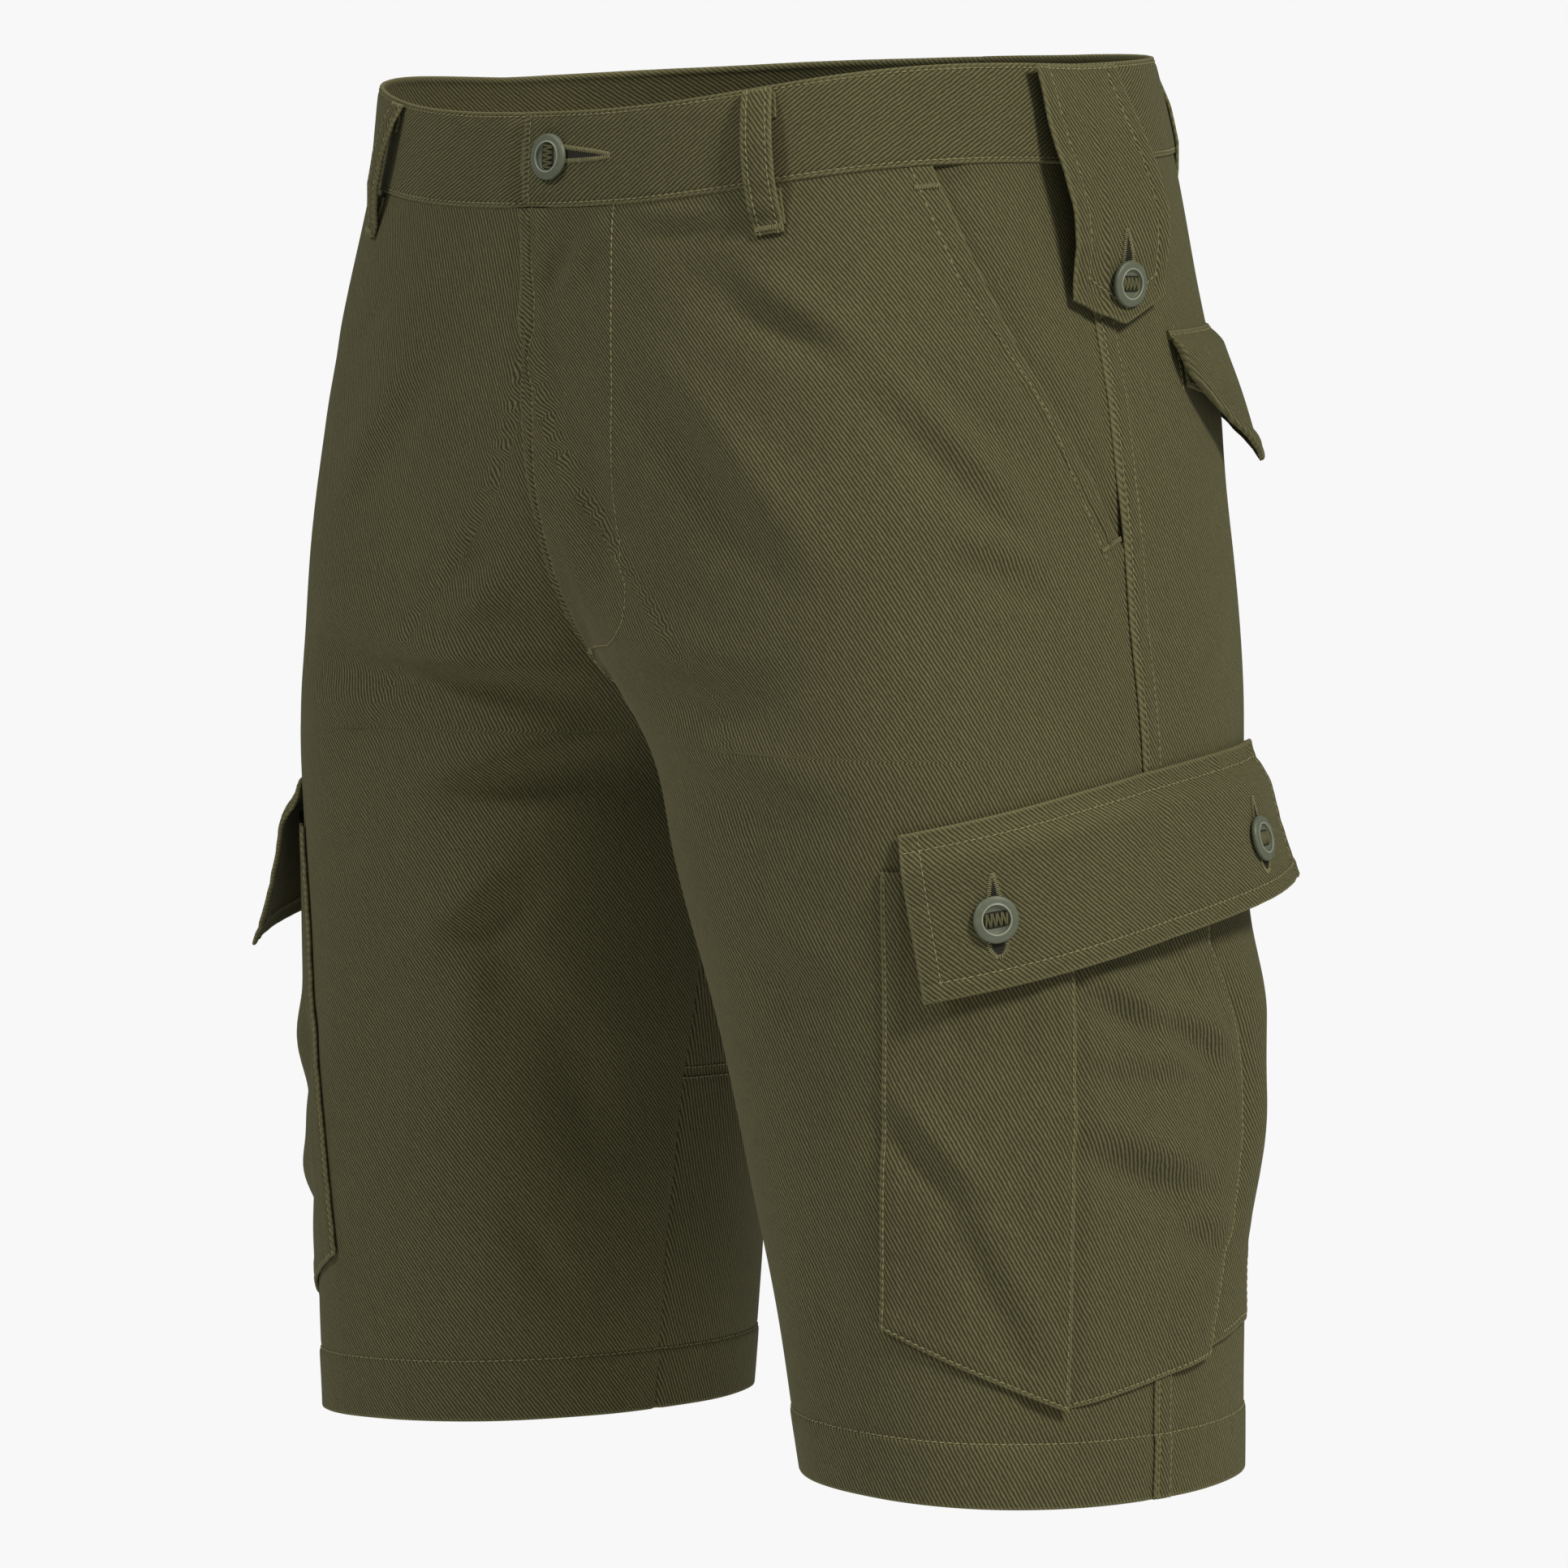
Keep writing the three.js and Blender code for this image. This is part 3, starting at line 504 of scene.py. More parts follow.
def twillCloth(name, steepness, lean):
    material, tree = newMaterial(name)
    turn = math.radians(90 - steepness) * lean
    flat = addNode(tree, "ShaderNodeUVMap", uv_map="UVMap")
    turned = addNode(
        tree,
        "ShaderNodeMapping",
        {"Vector": flat.outputs["UV"], "Rotation": (0, 0, turn)},
    )
    ribs = addNode(
        tree,
        "ShaderNodeTexWave",
        {
            "Vector": turned.outputs["Vector"],
            "Scale": math.pi / 10 / (twill["spacing"] * mm),
            "Distortion": 1.6,
            "Detail": 2.0,
            "Detail Scale": 1.4,
        },
        wave_type="BANDS",
        bands_direction="X",
    )
    stretched = addNode(
        tree,
        "ShaderNodeMapping",
        {"Vector": turned.outputs["Vector"], "Scale": (1 / (1.1 * mm), 1 / (9 * mm), 1)},
    )
    yarn = addNode(
        tree,
        "ShaderNodeTexNoise",
        {"Vector": stretched.outputs["Vector"], "Scale": 1.0, "Detail": 2.0},
        noise_dimensions="2D",
    )
    fibre = addNode(
        tree,
        "ShaderNodeTexNoise",
        {"Vector": flat.outputs["UV"], "Scale": 1 / (1.6 * mm), "Detail": 3.0},
        noise_dimensions="2D",
    )
    whole = addNode(tree, "ShaderNodeTexCoord")
    dye = addNode(
        tree,
        "ShaderNodeTexNoise",
        {"Vector": whole.outputs["Object"], "Scale": 11.0, "Detail": 4.0, "Roughness": 0.6},
    )
    evenness = addNode(
        tree,
        "ShaderNodeMapRange",
        {"Value": yarn.outputs["Fac"], 1: 0.3, 2: 0.7, 3: 0.5, 4: 0.64},
    )
    weave = addNode(
        tree,
        "ShaderNodeMath",
        {0: ribs.outputs["Fac"], 1: evenness.outputs[0]},
        operation="MULTIPLY",
    )
    # Painted shade: the furrows between the ribs take the darker furrow colour, for the shade that falls
    # in them as well as the weave's own look.
    cloth = addNode(tree, "ShaderNodeMix", data_type="RGBA")
    cloth.inputs[6].default_value = linear(twill["furrowPaintedShade"])
    cloth.inputs[7].default_value = linear(twill["rib"])
    lift = addNode(tree, "ShaderNodeMath", {0: weave.outputs[0], 1: 1.7}, operation="MULTIPLY")
    tree.links.new(lift.outputs[0], cloth.inputs[0])
    shades = addNode(
        tree,
        "ShaderNodeMapRange",
        {"Value": dye.outputs["Fac"], 1: 0.3, 2: 0.7, 3: 0.95, 4: 1.05},
    )
    specks = addNode(
        tree,
        "ShaderNodeMapRange",
        {"Value": fibre.outputs["Fac"], 1: 0.3, 2: 0.7, 3: 0.9, 4: 1.1},
    )
    tone = addNode(
        tree,
        "ShaderNodeMath",
        {0: shades.outputs[0], 1: specks.outputs[0]},
        operation="MULTIPLY",
    )
    toned = addNode(
        tree,
        "ShaderNodeVectorMath",
        {0: cloth.outputs[2], "Scale": tone.outputs[0]},
        operation="SCALE",
    )
    edge = addNode(tree, "ShaderNodeAttribute", attribute_name="edgeDistance")
    worn = addNode(
        tree,
        "ShaderNodeMapRange",
        {"Value": edge.outputs["Fac"], 1: 0.2, 2: 1.6, 3: 0.45, 4: 0.0},
    )
    dyed = addNode(tree, "ShaderNodeMix", data_type="RGBA")
    tree.links.new(worn.outputs[0], dyed.inputs[0])
    tree.links.new(toned.outputs[0], dyed.inputs[6])
    dyed.inputs[7].default_value = linear(twill["worn"])
    relief = addNode(
        tree,
        "ShaderNodeMath",
        {0: fibre.outputs["Fac"], 1: 0.5, 2: weave.outputs[0]},
        operation="MULTIPLY_ADD",
    )
    bump = addNode(
        tree,
        "ShaderNodeBump",
        {"Height": relief.outputs[0], "Strength": 1.0, "Distance": twill["ribHeight"] * mm},
    )
    shader = addNode(
        tree,
        "ShaderNodeBsdfPrincipled",
        {
            "Base Color": dyed.outputs[2],
            "Roughness": twill["roughness"],
            "Normal": bump.outputs["Normal"],
            "Sheen Weight": twill["sheen"],
            "Sheen Roughness": 0.45,
            "Sheen Tint": linear("#c9c7a0"),
            "Specular IOR Level": 0.18,
        },
    )
    addNode(tree, "ShaderNodeOutputMaterial", {"Surface": shader.outputs[0]})
    return material


# Spun polyester-cotton sewing thread, a shade paler than the cloth, with a slight gloss. The same
# material in near black is also painted shade: the pocket mouths, the buttonhole gaps and the button
# slots.
def threadAndPaintedShade(name, colour):
    material, tree = newMaterial(name)
    whole = addNode(tree, "ShaderNodeTexCoord")
    twist = addNode(
        tree,
        "ShaderNodeTexNoise",
        {"Vector": whole.outputs["Object"], "Scale": 900.0, "Detail": 2.0},
    )
    shade = addNode(
        tree,
        "ShaderNodeMapRange",
        {"Value": twist.outputs["Fac"], 1: 0.3, 2: 0.7, 3: 0.78, 4: 1.15},
    )
    toned = addNode(
        tree,
        "ShaderNodeVectorMath",
        {0: linear(colour)[:3], "Scale": shade.outputs[0]},
        operation="SCALE",
    )
    bump = addNode(tree, "ShaderNodeBump", {"Height": twist.outputs["Fac"], "Distance": 0.1 * mm})
    shader = addNode(
        tree,
        "ShaderNodeBsdfPrincipled",
        {
            "Base Color": toned.outputs[0],
            "Roughness": 0.72,
            "Normal": bump.outputs["Normal"],
            "Specular IOR Level": 0.3,
        },
    )
    addNode(tree, "ShaderNodeOutputMaterial", {"Surface": shader.outputs[0]})
    return material


# Moulded polyester button plastic, dyed through: a satin surface with faint cloudy streaks, rubbed
# paler on the bead round the well.
def buttonPlastic(name):
    material, tree = newMaterial(name)
    whole = addNode(tree, "ShaderNodeTexCoord")
    cloud = addNode(
        tree,
        "ShaderNodeTexNoise",
        {"Vector": whole.outputs["Object"], "Scale": 160.0, "Detail": 3.0, "Distortion": 1.5},
    )
    colour = addNode(tree, "ShaderNodeMix", data_type="RGBA")
    tree.links.new(cloud.outputs["Fac"], colour.inputs[0])
    colour.inputs[6].default_value = linear("#555b49")
    colour.inputs[7].default_value = linear("#6c735f")
    edge = addNode(tree, "ShaderNodeAttribute", attribute_name="edgeDistance")
    rubbed = addNode(
        tree,
        "ShaderNodeMapRange",
        {"Value": edge.outputs["Fac"], 1: 0.05, 2: 0.4, 3: 0.7, 4: 0.0},
    )
    worn = addNode(tree, "ShaderNodeMix", data_type="RGBA")
    tree.links.new(rubbed.outputs[0], worn.inputs[0])
    tree.links.new(colour.outputs[2], worn.inputs[6])
    worn.inputs[7].default_value = linear("#b9bda6")
    grain = addNode(
        tree,
        "ShaderNodeTexNoise",
        {"Vector": whole.outputs["Object"], "Scale": 1400.0, "Detail": 2.0},
    )
    bump = addNode(tree, "ShaderNodeBump", {"Height": grain.outputs["Fac"], "Distance": 0.03 * mm})
    shader = addNode(
        tree,
        "ShaderNodeBsdfPrincipled",
        {
            "Base Color": worn.outputs[2],
            "Roughness": 0.46,
            "Normal": bump.outputs["Normal"],
            "IOR": 1.52,
        },
    )
    addNode(tree, "ShaderNodeOutputMaterial", {"Surface": shader.outputs[0]})
    return material


panelTwill = twillCloth("cottonTwillPanels", 60, -1)
bandTwill = twillCloth("cottonTwillWaistband", 32, 1)
flapTwill = twillCloth("cottonTwillFlaps", 40, -1)
topThread = threadAndPaintedShade("topstitchThread", "#8c8962")
tackThread = threadAndPaintedShade("bartackThread", "#7b7855")
holeThread = threadAndPaintedShade("buttonholeThread", "#8d8a64")
shankThread = threadAndPaintedShade("buttonSewingThread", "#5f5e40")
plastic = buttonPlastic("mouldedPolyesterButton")
print("materials made")


# Body panels

panel = {
    "step": 4.0,
    "hemStitch": 25,
    "felledWidth": 9.5,
    "felledHeight": 0.9,
    "mouthStitch": 8.5,
    "flyOver": 2.0,
    "flyLift": 2.3,
    "flyRow": 3.4,
    "flyRope": 0.75,
}
panelHeight = body["panelTop"] - body["hem"]
panelLines = gridLines(
    panelHeight,
    panel["step"],
    (panelHeight - panel["hemStitch"], body["panelTop"] - body["crotch"]),
)
forkRows = np.linspace(body["forkTop"], body["crotch"], 16)
panelLines = np.unique(
    np.concatenate([panelLines, (body["panelTop"] - forkRows) / panelHeight]).round(5)
)


def panelZ(v):
    return mix(body["panelTop"], body["hem"], v)


def mouthAt(z):
    return np.interp(z, body["mouthZ"][::-1], body["mouthAcross"][::-1])


# A column's place, from 0 at the side seam to 1 at the inner edge. Just above the crotch the edge
# swings in fast, and only the columns near it follow.
def columnAt(edgeOf, z, part):
    inFork = (z < body["forkTop"]) & (z > body["crotch"])
    drop = (z - body["forkTop"]) / (body["crotch"] - body["forkTop"])
    ends = mix(edgeOf(body["forkTop"]), edgeOf(body["crotch"]), drop)
    edge = edgeOf(z)
    even = np.where(inFork, ends, edge)
    return even * part + (edge - even) * part**4


def hemShape(z, across, seed):
    fromHem = z - body["hem"]
    row = panel["hemStitch"]
    drawn = 0.28 * puckers(across, seed, 11) * np.exp(-(((fromHem - row + 4) / 9) ** 2))
    return swell(fromHem, row, 0.7) + groove(fromHem, row, 0.5) + drawn


# The front's outer face at a distance across and down, with its lift and nearest free edge.
def frontFace(side):
    overlap = panel["flyOver"] if side == left else 0.4

    def face(across, down):
        z = -down
        fromInner = across - acrossFront(z)
        fromMouth = mouthAt(z) - across
        mouth = 1 - smooth(down, 178, 190)
        drawnMouth = 0.55 * puckers(z, 5, 13) * np.exp(-(((fromMouth - 5) / 6) ** 2))
        turned = swell(fromMouth, panel["mouthStitch"], 0.6)
        row = groove(fromMouth, panel["mouthStitch"], 0.4)
        lift = hemShape(z, across, 3) + mouth * (turned + row + drawnMouth)
        lift = lift - (1 - mouth) * 0.5 * (1 - smooth(fromMouth, 1, 7))
        above = 1 - smooth(down, 236, 262)
        if side == left:
            raised = panel["flyLift"] * (1 - smooth(fromInner, 5, 15))
            facing = 0.35 * (1 - smooth(fromInner, 44, 48))
            drawnFly = 0.4 * puckers(z, 9, 10) * np.exp(-(((fromInner - 7) / 5) ** 2))
            inRope = np.clip((fromInner + overlap) / (panel["flyRow"] + overlap), 0, 1)
            turns = 1 + 0.3 * np.sin(2 * math.pi * (z + 1.2 * fromInner) / 3.4)
            rope = panel["flyRope"] * np.sin(math.pi * inRope) * turns
            rope = rope + groove(fromInner, panel["flyRow"], 0.8, 1.0)
            lift = lift + above * (raised + facing + drawnFly + rope)
            edge = np.where(z > -255, fromInner + overlap, 9)
        else:
            lift = lift - above * 0.5 * (1 - smooth(fromInner, 2, 12))
            edge = np.full(np.shape(z), 9.0)
        lift = lift - (1 - above) * 1.0 * np.exp(-((fromInner / 1.8) ** 2))
        edge = np.minimum(edge, np.where(z > -186, fromMouth, 9))
        edge = np.minimum(edge, z - body["hem"])
        return across, z, lift, edge

    return face


def frontPlace(side):
    overlap = panel["flyOver"] if side == left else 0.4
    face = frontFace(side)

    def place(u, v):
        z = panelZ(v)
        inner = columnAt(acrossFront, z, 1 - u)
        over = overlap * (1 - smooth(-z, 235, 262)) * (1 - u)
        return face(inner - over + (mouthAt(z) - body["seam"] / 2) * u, -z)

    return place


# The back's outer face: its felled edge laps over the front at the side seam.
def backFace(across, down):
    z = -down
    fromInner = acrossBack(z) - across
    felled = swell(across + 1.2, panel["felledWidth"], panel["felledHeight"])
    rows = groove(across, 0.6, 0.35) + groove(across, 7.2, 0.4)
    drawn = 0.22 * puckers(z, 6, 13) * np.exp(-(((across - 4) / 7) ** 2))
    lift = hemShape(z, across, 4) + felled + rows + drawn
    lift = lift - 1.0 * np.exp(-((fromInner / 1.8) ** 2))
    lift = lift + smooth(fromInner, 150, 110) * groove(z, -405, 0.6, 1.4)
    return across, z, lift, np.minimum(across + 1.2, z - body["hem"])


def backPlace(u, v):
    z = panelZ(v)
    return backFace(columnAt(acrossBack, z, u) - 1.2 * (1 - u), -z)


def facingPlace(u, v):
    z = mix(body["panelTop"], -181, v)
    across = mix(mouthAt(z) - 14, 1.5, u)
    lift = mix(-2.4, -0.15, smooth(across, mouthAt(z) + 1, mouthAt(z) + 18))
    return across, z, lift, np.full(u.shape, 9.0)


def keep(made, nodes):
    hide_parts(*nodes)
    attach(made, "root")
    return made


for side in (left, right):
    suffix = sideNames[side]
    us = gridLines(300, panel["step"], (300 - panel["mouthStitch"], 46, 5.4))
    place = frontPlace(side)
    made = clothSheet(f"front_{suffix}", side, place, us, panelLines, body["wall"], panelTwill)
    keep(made, [f"front_{suffix}"])
    us = gridLines(330, panel["step"], (1.8, 8.4, 10.5))
    made = clothSheet(f"back_{suffix}", side, backPlace, us, panelLines, body["wall"], panelTwill)
    keep(made, [f"back_{suffix}"])
    made = clothSheet(
        f"hip_facing_{suffix}",
        side,
        facingPlace,
        gridLines(60, 3, ()),
        gridLines(143, 3.5, ()),
        1.2,
        panelTwill,
    )
    keep(made, [f"hip_facing_{suffix}"])
print("body panels made")


# Waistband

band = {"height": 38, "wall": 2, "stitch": 1.9, "underlap": 40, "step": 3}


def bandShape(across, z):
    fromTop = -z
    fromBottom = z + band["height"]
    rows = groove(fromTop, band["stitch"], 0.4) + groove(fromBottom, band["stitch"], 0.4)
    low = 0.3 * puckers(across, 21, 12) * np.exp(-(((fromBottom - 6) / 7) ** 2))
    high = 0.25 * puckers(across, 22, 14) * np.exp(-(((fromTop - 6) / 7) ** 2))
    hollow = 0.35 * np.sin(math.pi * np.clip(-z / band["height"], 0, 1))
    return 1 + rows + low + high + hollow


def leftBandPlace(u, v):
    z = mix(0, -band["height"], v)
    start = acrossFront(z) - 1.5
    across = mix(start, acrossBack(z), u)
    fromEnd = across - start
    lift = bandShape(across, z) + groove(fromEnd, 2.2, 0.4)
    lift = lift + 0.5 * (1 - smooth(fromEnd, 6, 14))
    edge = np.minimum(np.minimum(-z, z + band["height"]), fromEnd)
    return across, z, lift, edge


def rightBandPlace(u, v):
    z = mix(0, -band["height"], v)
    across = mix(acrossFront(z) - band["underlap"], acrossBack(z), u)
    past = acrossFront(z) - across
    lift = bandShape(across, z) - (band["wall"] + 0.5) * smooth(past, -12, -1)
    edge = np.minimum(-z, z + band["height"])
    return across, z, lift, edge


bandRows = gridLines(band["height"], band["step"], (band["stitch"], 38 - band["stitch"]))
made = clothSheet(
    "waistband_left", left, leftBandPlace, gridLines(470, 3, (3.7,)), bandRows, 2, bandTwill
)
keep(made, ["waistband_left"])
made = clothSheet(
    "waistband_right", right, rightBandPlace, gridLines(512, 3, (42,)), bandRows, 2, bandTwill
)
keep(made, ["waistband_right"])
print("waistband made")


# Belt loops and side tabs

loop = {
    "width": 12,
    "wall": 1.6,
    "z": (-1, -9, -22, -36, -46, -52, -57),
    "lift": (1.6, 4.4, 6.0, 5.2, 2.6, 0.5, 0.3),
    "tailWidth": 10,
    "places": (
        # name, side, across at the band's top edge, lean of its foot
        ("front", left, -134, -2),
        ("front", right, -152, 14),
        ("back", left, 126, 2),
        ("back", right, 126, 2),
    ),
}
loopSteps = np.arange(len(loop["z"]))


def loopAcross(z, across, lean):
    return across + lean * z / loop["z"][-1]


def loopPlace(across, lean):
    def place(u, v):
        step = v * (len(loop["z"]) - 1)
        z = np.interp(step, loopSteps, loop["z"])
        lift = np.interp(step, loopSteps, loop["lift"]) + loop["wall"]
        inset = np.minimum(u, 1 - u) * loop["width"]
        lift = lift + groove(inset, 2.4, 0.35, 0.8) + 0.3 * np.sin(math.pi * u)
        ends = np.minimum(z - loop["z"][-1], loop["z"][0] - z)
        edge = np.minimum(inset, ends)
        return loopAcross(z, across, lean) + (u - 0.5) * loop["width"], z, lift, edge

    return place


# The turned-in end of a loop, which lies flat on the cloth behind it and shows past its edge.
def loopTailPlace(across, lean, topZ, bottomZ, lift):
    def place(u, v):
        z = mix(topZ, bottomZ, v)
        width = loop["tailWidth"]
        inset = np.minimum(u, 1 - u) * width
        edge = np.minimum(inset, np.minimum(topZ - z, z - bottomZ))
        raised = lift + 1.2 + 0.25 * puckers(z, 31, 5)
        return loopAcross(z, across, lean) + 2 + (u - 0.5) * width, z, raised, edge

    return place


loopUs = gridLines(loop["width"], 1.2, (2.4, 9.6))
loopVs = gridLines(60, 1.6, ())
tailUs = gridLines(loop["tailWidth"], 1.6, ())
tailVs = gridLines(14, 1.6, ())
tails = {}
for where, side, across, lean in loop["places"]:
    suffix = sideNames[side]
    name = f"loop_{where}_{suffix}"
    place = loopPlace(across, lean)
    made = clothSheet(name, side, place, loopUs, loopVs, loop["wall"], panelTwill)
    keep(made, [name])
    for end, topZ, bottomZ, lift in (("top", -3, -13, 1.1), ("bottom", -40, -54, 0.1)):
        place = loopTailPlace(across, lean, topZ, bottomZ, lift)
        tail = clothSheet(f"{name}_{end}_tail", side, place, tailUs, tailVs, 1.1, panelTwill)
        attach(tail, "root")
        tails[tail.name] = tail


# The centre back loop crosses the middle, so half of it is placed from each side.
def backLoopPlace(u, v):
    across, z, lift, edge = loopPlace(0, 0)(u, v)
    return acrossBack(z) - 0.01 - np.abs(across), z, lift, edge


def backLoopSides(u):
    return np.where(u > 0.5, left, right)


made = clothSheet(
    "loop_back_centre",
    right,
    backLoopPlace,
    loopUs,
    loopVs,
    loop["wall"],
    panelTwill,
    sidesOf=backLoopSides,
)
keep(made, ["loop_back_centre"])

tab = {
    "wall": 1.8,
    "z": (-1, -12, -26, -42, -58, -74, -88, -101),
    "centre": (-2, 0, 2, 5, 8, 9, 9, 9),
    "half": (23, 23, 23.5, 24, 24.5, 24.5, 24.5, 24.5),
    "lift": (1.9, 4.5, 8, 10.5, 11, 9, 6, 3.6),
    "corner": 10,
    "lean": 3,
    "curl": 3,
    "stitch": 7,
    "buttonAcross": 10,
    "buttonZ": -86,
}
tabSteps = np.arange(len(tab["z"]))


def tabPlace(u, v):
    step = v * (len(tab["z"]) - 1)
    z = np.interp(step, tabSteps, tab["z"])
    centre = np.interp(step, tabSteps, tab["centre"])
    half = np.interp(step, tabSteps, tab["half"])
    lift = np.interp(step, tabSteps, tab["lift"]) + tab["lean"] * (u - 0.5) * smooth(-z, 0, 40)
    last = smooth(-z, 60, 101)
    away = np.abs(2 * u - 1)
    corner = tab["corner"] * last * away
    inset = np.minimum(u, 1 - u) * 2 * half
    fromEnd = z - tab["z"][-1]
    edge = np.minimum(inset, np.minimum(-0.8 - z, fromEnd))
    stitched = np.minimum(inset, fromEnd)
    shape = groove(stitched, tab["stitch"], 0.4) + swell(stitched, tab["stitch"], 0.4)
    shape = shape + 0.3 * puckers(z, 41, 12) * np.exp(-(((inset - 4) / 4) ** 2))
    curled = tab["curl"] * (1 - smooth(u, 0, 0.3)) * (1 - smooth(-z, 0, 26))
    return centre + (2 * u - 1) * half, z + corner, lift + tab["wall"] + shape + curled, edge


for side in (left, right):
    name = f"side_tab_{sideNames[side]}"
    made = clothSheet(
        name, side, tabPlace, gridLines(48, 1.8, (7, 41)), gridLines(100, 2, ()), 1.8, panelTwill
    )
    keep(made, [name])
print("loops and tabs made")


# Cargo pockets

cargo = {
    "front": -118,
    "pleat": -44,
    "rear": 30,
    "bow": 27,
    "bowTop": -331,
    "bowBottom": -488,
    "corner": 60,
    "gussetRear": 102,
    "gussetFoot": 76,
    "gussetBulge": 7.5,
    "frontBottom": -478,
    "tipBottom": -508,
    "rearBottom": -488,
    "pleatUnder": 10,
    "wall": 1.4,
    "puff": 1.6,
    "pleatValley": 1.2,
    "stitch": 1.6,
}
flap = {
    "front": -112,
    "rear": 94,
    "topFrontZ": -289,
    "topRearZ": -261,
    "height": 65,
    "rearShorter": 12,
    "frontLean": 10,
    "rearLean": 2,
    "frontFlare": {left: 1, right: 13},
    "rearFlare": 13,
    "wall": 2,
    "stitch": 7,
}


def flapTopZ(across):
    t = np.clip((across - flap["front"]) / (flap["rear"] - flap["front"]), 0, 1)
    return mix(flap["topFrontZ"], flap["topRearZ"], np.sin(t * math.pi / 2))


def cargoBottomZ(across):
    points = (cargo["front"], cargo["pleat"], cargo["corner"])
    heights = (cargo["frontBottom"], cargo["tipBottom"], cargo["rearBottom"])
    return np.interp(across, points, heights)


# The pocket's rear edge bows out towards the back.
def cargoRearAt(z):
    part = np.clip((cargo["bowTop"] - z) / (cargo["bowTop"] - cargo["bowBottom"]), 0, 1)
    return cargo["rear"] + cargo["bow"] * np.sin(math.pi * part**0.85) ** 1.5


def gussetRearAt(z):
    return mix(cargo["gussetRear"], cargo["gussetFoot"], smooth(-z, 400, 485))


def cargoTopZ(across):
    return flapTopZ(across) - 14


def cargoPuff(across, z):
    fromFront = smooth(across, cargo["front"], cargo["front"] + 40)
    bottom = cargoBottomZ(across)
    return cargo["puff"] * fromFront * smooth(z, bottom, bottom + 50)


def cargoFrontPlace(u, v):
    across = mix(cargo["front"], cargo["pleat"], u)
    z = mix(cargoTopZ(across), cargoBottomZ(across), v)
    over = (cargo["wall"] + 0.3) * smooth(across, cargo["pleat"] - 22, cargo["pleat"] - 12)
    fromFront = across - cargo["front"]
    fromPleat = cargo["pleat"] - across
    fromBottom = (z - cargoBottomZ(across)) * 0.93
    lift = 0.3 + over + cargoPuff(across, z) + cargo["wall"]
    for distance, seed in ((fromFront, 51), (fromPleat, 52), (fromBottom, 53)):
        lift = lift + groove(distance, cargo["stitch"], 0.35) + swell(distance, 8, 0.35)
        along = across if seed == 53 else z
        lift = lift + 0.3 * puckers(along, seed, 11) * np.exp(-(((distance - 4) / 6) ** 2))
    edge = np.minimum(np.minimum(fromFront, fromPleat), fromBottom)
    return across, z, lift, edge


def cargoRearPlace(u, v):
    start = cargo["pleat"] - cargo["pleatUnder"]
    guess = mix(start, cargo["corner"], u)
    rear = cargoRearAt(mix(cargoTopZ(guess), cargoBottomZ(guess) + 1, v))
    across = mix(start, rear, u)
    z = mix(cargoTopZ(across), cargoBottomZ(across) + 1, v)
    fromRear = cargoRearAt(z) - across
    fromBottom = z - cargoBottomZ(across) - 1
    over = (cargo["wall"] + 0.3) * (1 - smooth(fromRear, 14, 26))
    valley = cargo["pleatValley"] * np.exp(-(((across - cargo["pleat"] - 2) / 4) ** 2))
    lift = 0.3 + over + cargoPuff(across, z) + cargo["wall"] - valley
    for distance, seed in ((fromRear, 54), (fromBottom, 55)):
        lift = lift + groove(distance, cargo["stitch"], 0.35) + swell(distance, 8, 0.35)
        along = across if seed == 55 else z
        lift = lift + 0.35 * puckers(along, seed, 12) * np.exp(-(((distance - 4) / 7) ** 2))
    return across, z, lift, np.minimum(fromRear, fromBottom)


# The bellows bulges behind the pocket's rear edge, most at half its height.
def gussetPlace(u, v):
    guess = mix(cargoTopZ(cargo["corner"]), cargoBottomZ(cargo["corner"]) + 3, v)
    across = mix(cargoRearAt(guess) - 10, gussetRearAt(guess), u)
    z = mix(cargoTopZ(across), cargoBottomZ(across) + 3, v)
    start = cargoRearAt(z) + 2
    part = np.clip((across - start) / (gussetRearAt(z) - start), 0, 1)
    high = smooth(-z, 312, 368) * mix(1, 0.15, smooth(-z, 398, 470))
    bulge = cargo["gussetBulge"] * np.sin(math.pi * part) * high
    fromRear = gussetRearAt(z) - across
    fromBottom = z - cargoBottomZ(across) - 3
    lift = 0.3 + cargo["wall"] + bulge + groove(fromRear, 1.8, 0.3)
    lift = lift + 0.3 * puckers(z, 56, 14) * np.exp(-(((fromRear - 5) / 6) ** 2))
    return across, z, lift, np.minimum(fromRear, fromBottom)


# The flap clears the pocket, and stands out most at its rear; on the right leg its front corner
# stands out too.
def cargoFlapLift(side, u, v):
    u = np.clip(u, 0, 1)
    down = np.clip(v, 0, 1)
    over = 6.4 * smooth(v, 0.02, mix(0.22, 0.34, u**4))
    front = flap["frontFlare"][side] * (1 - u) ** 3
    return 0.3 + over + (mix(1, flap["rearFlare"], u**1.5) + front) * down**1.6


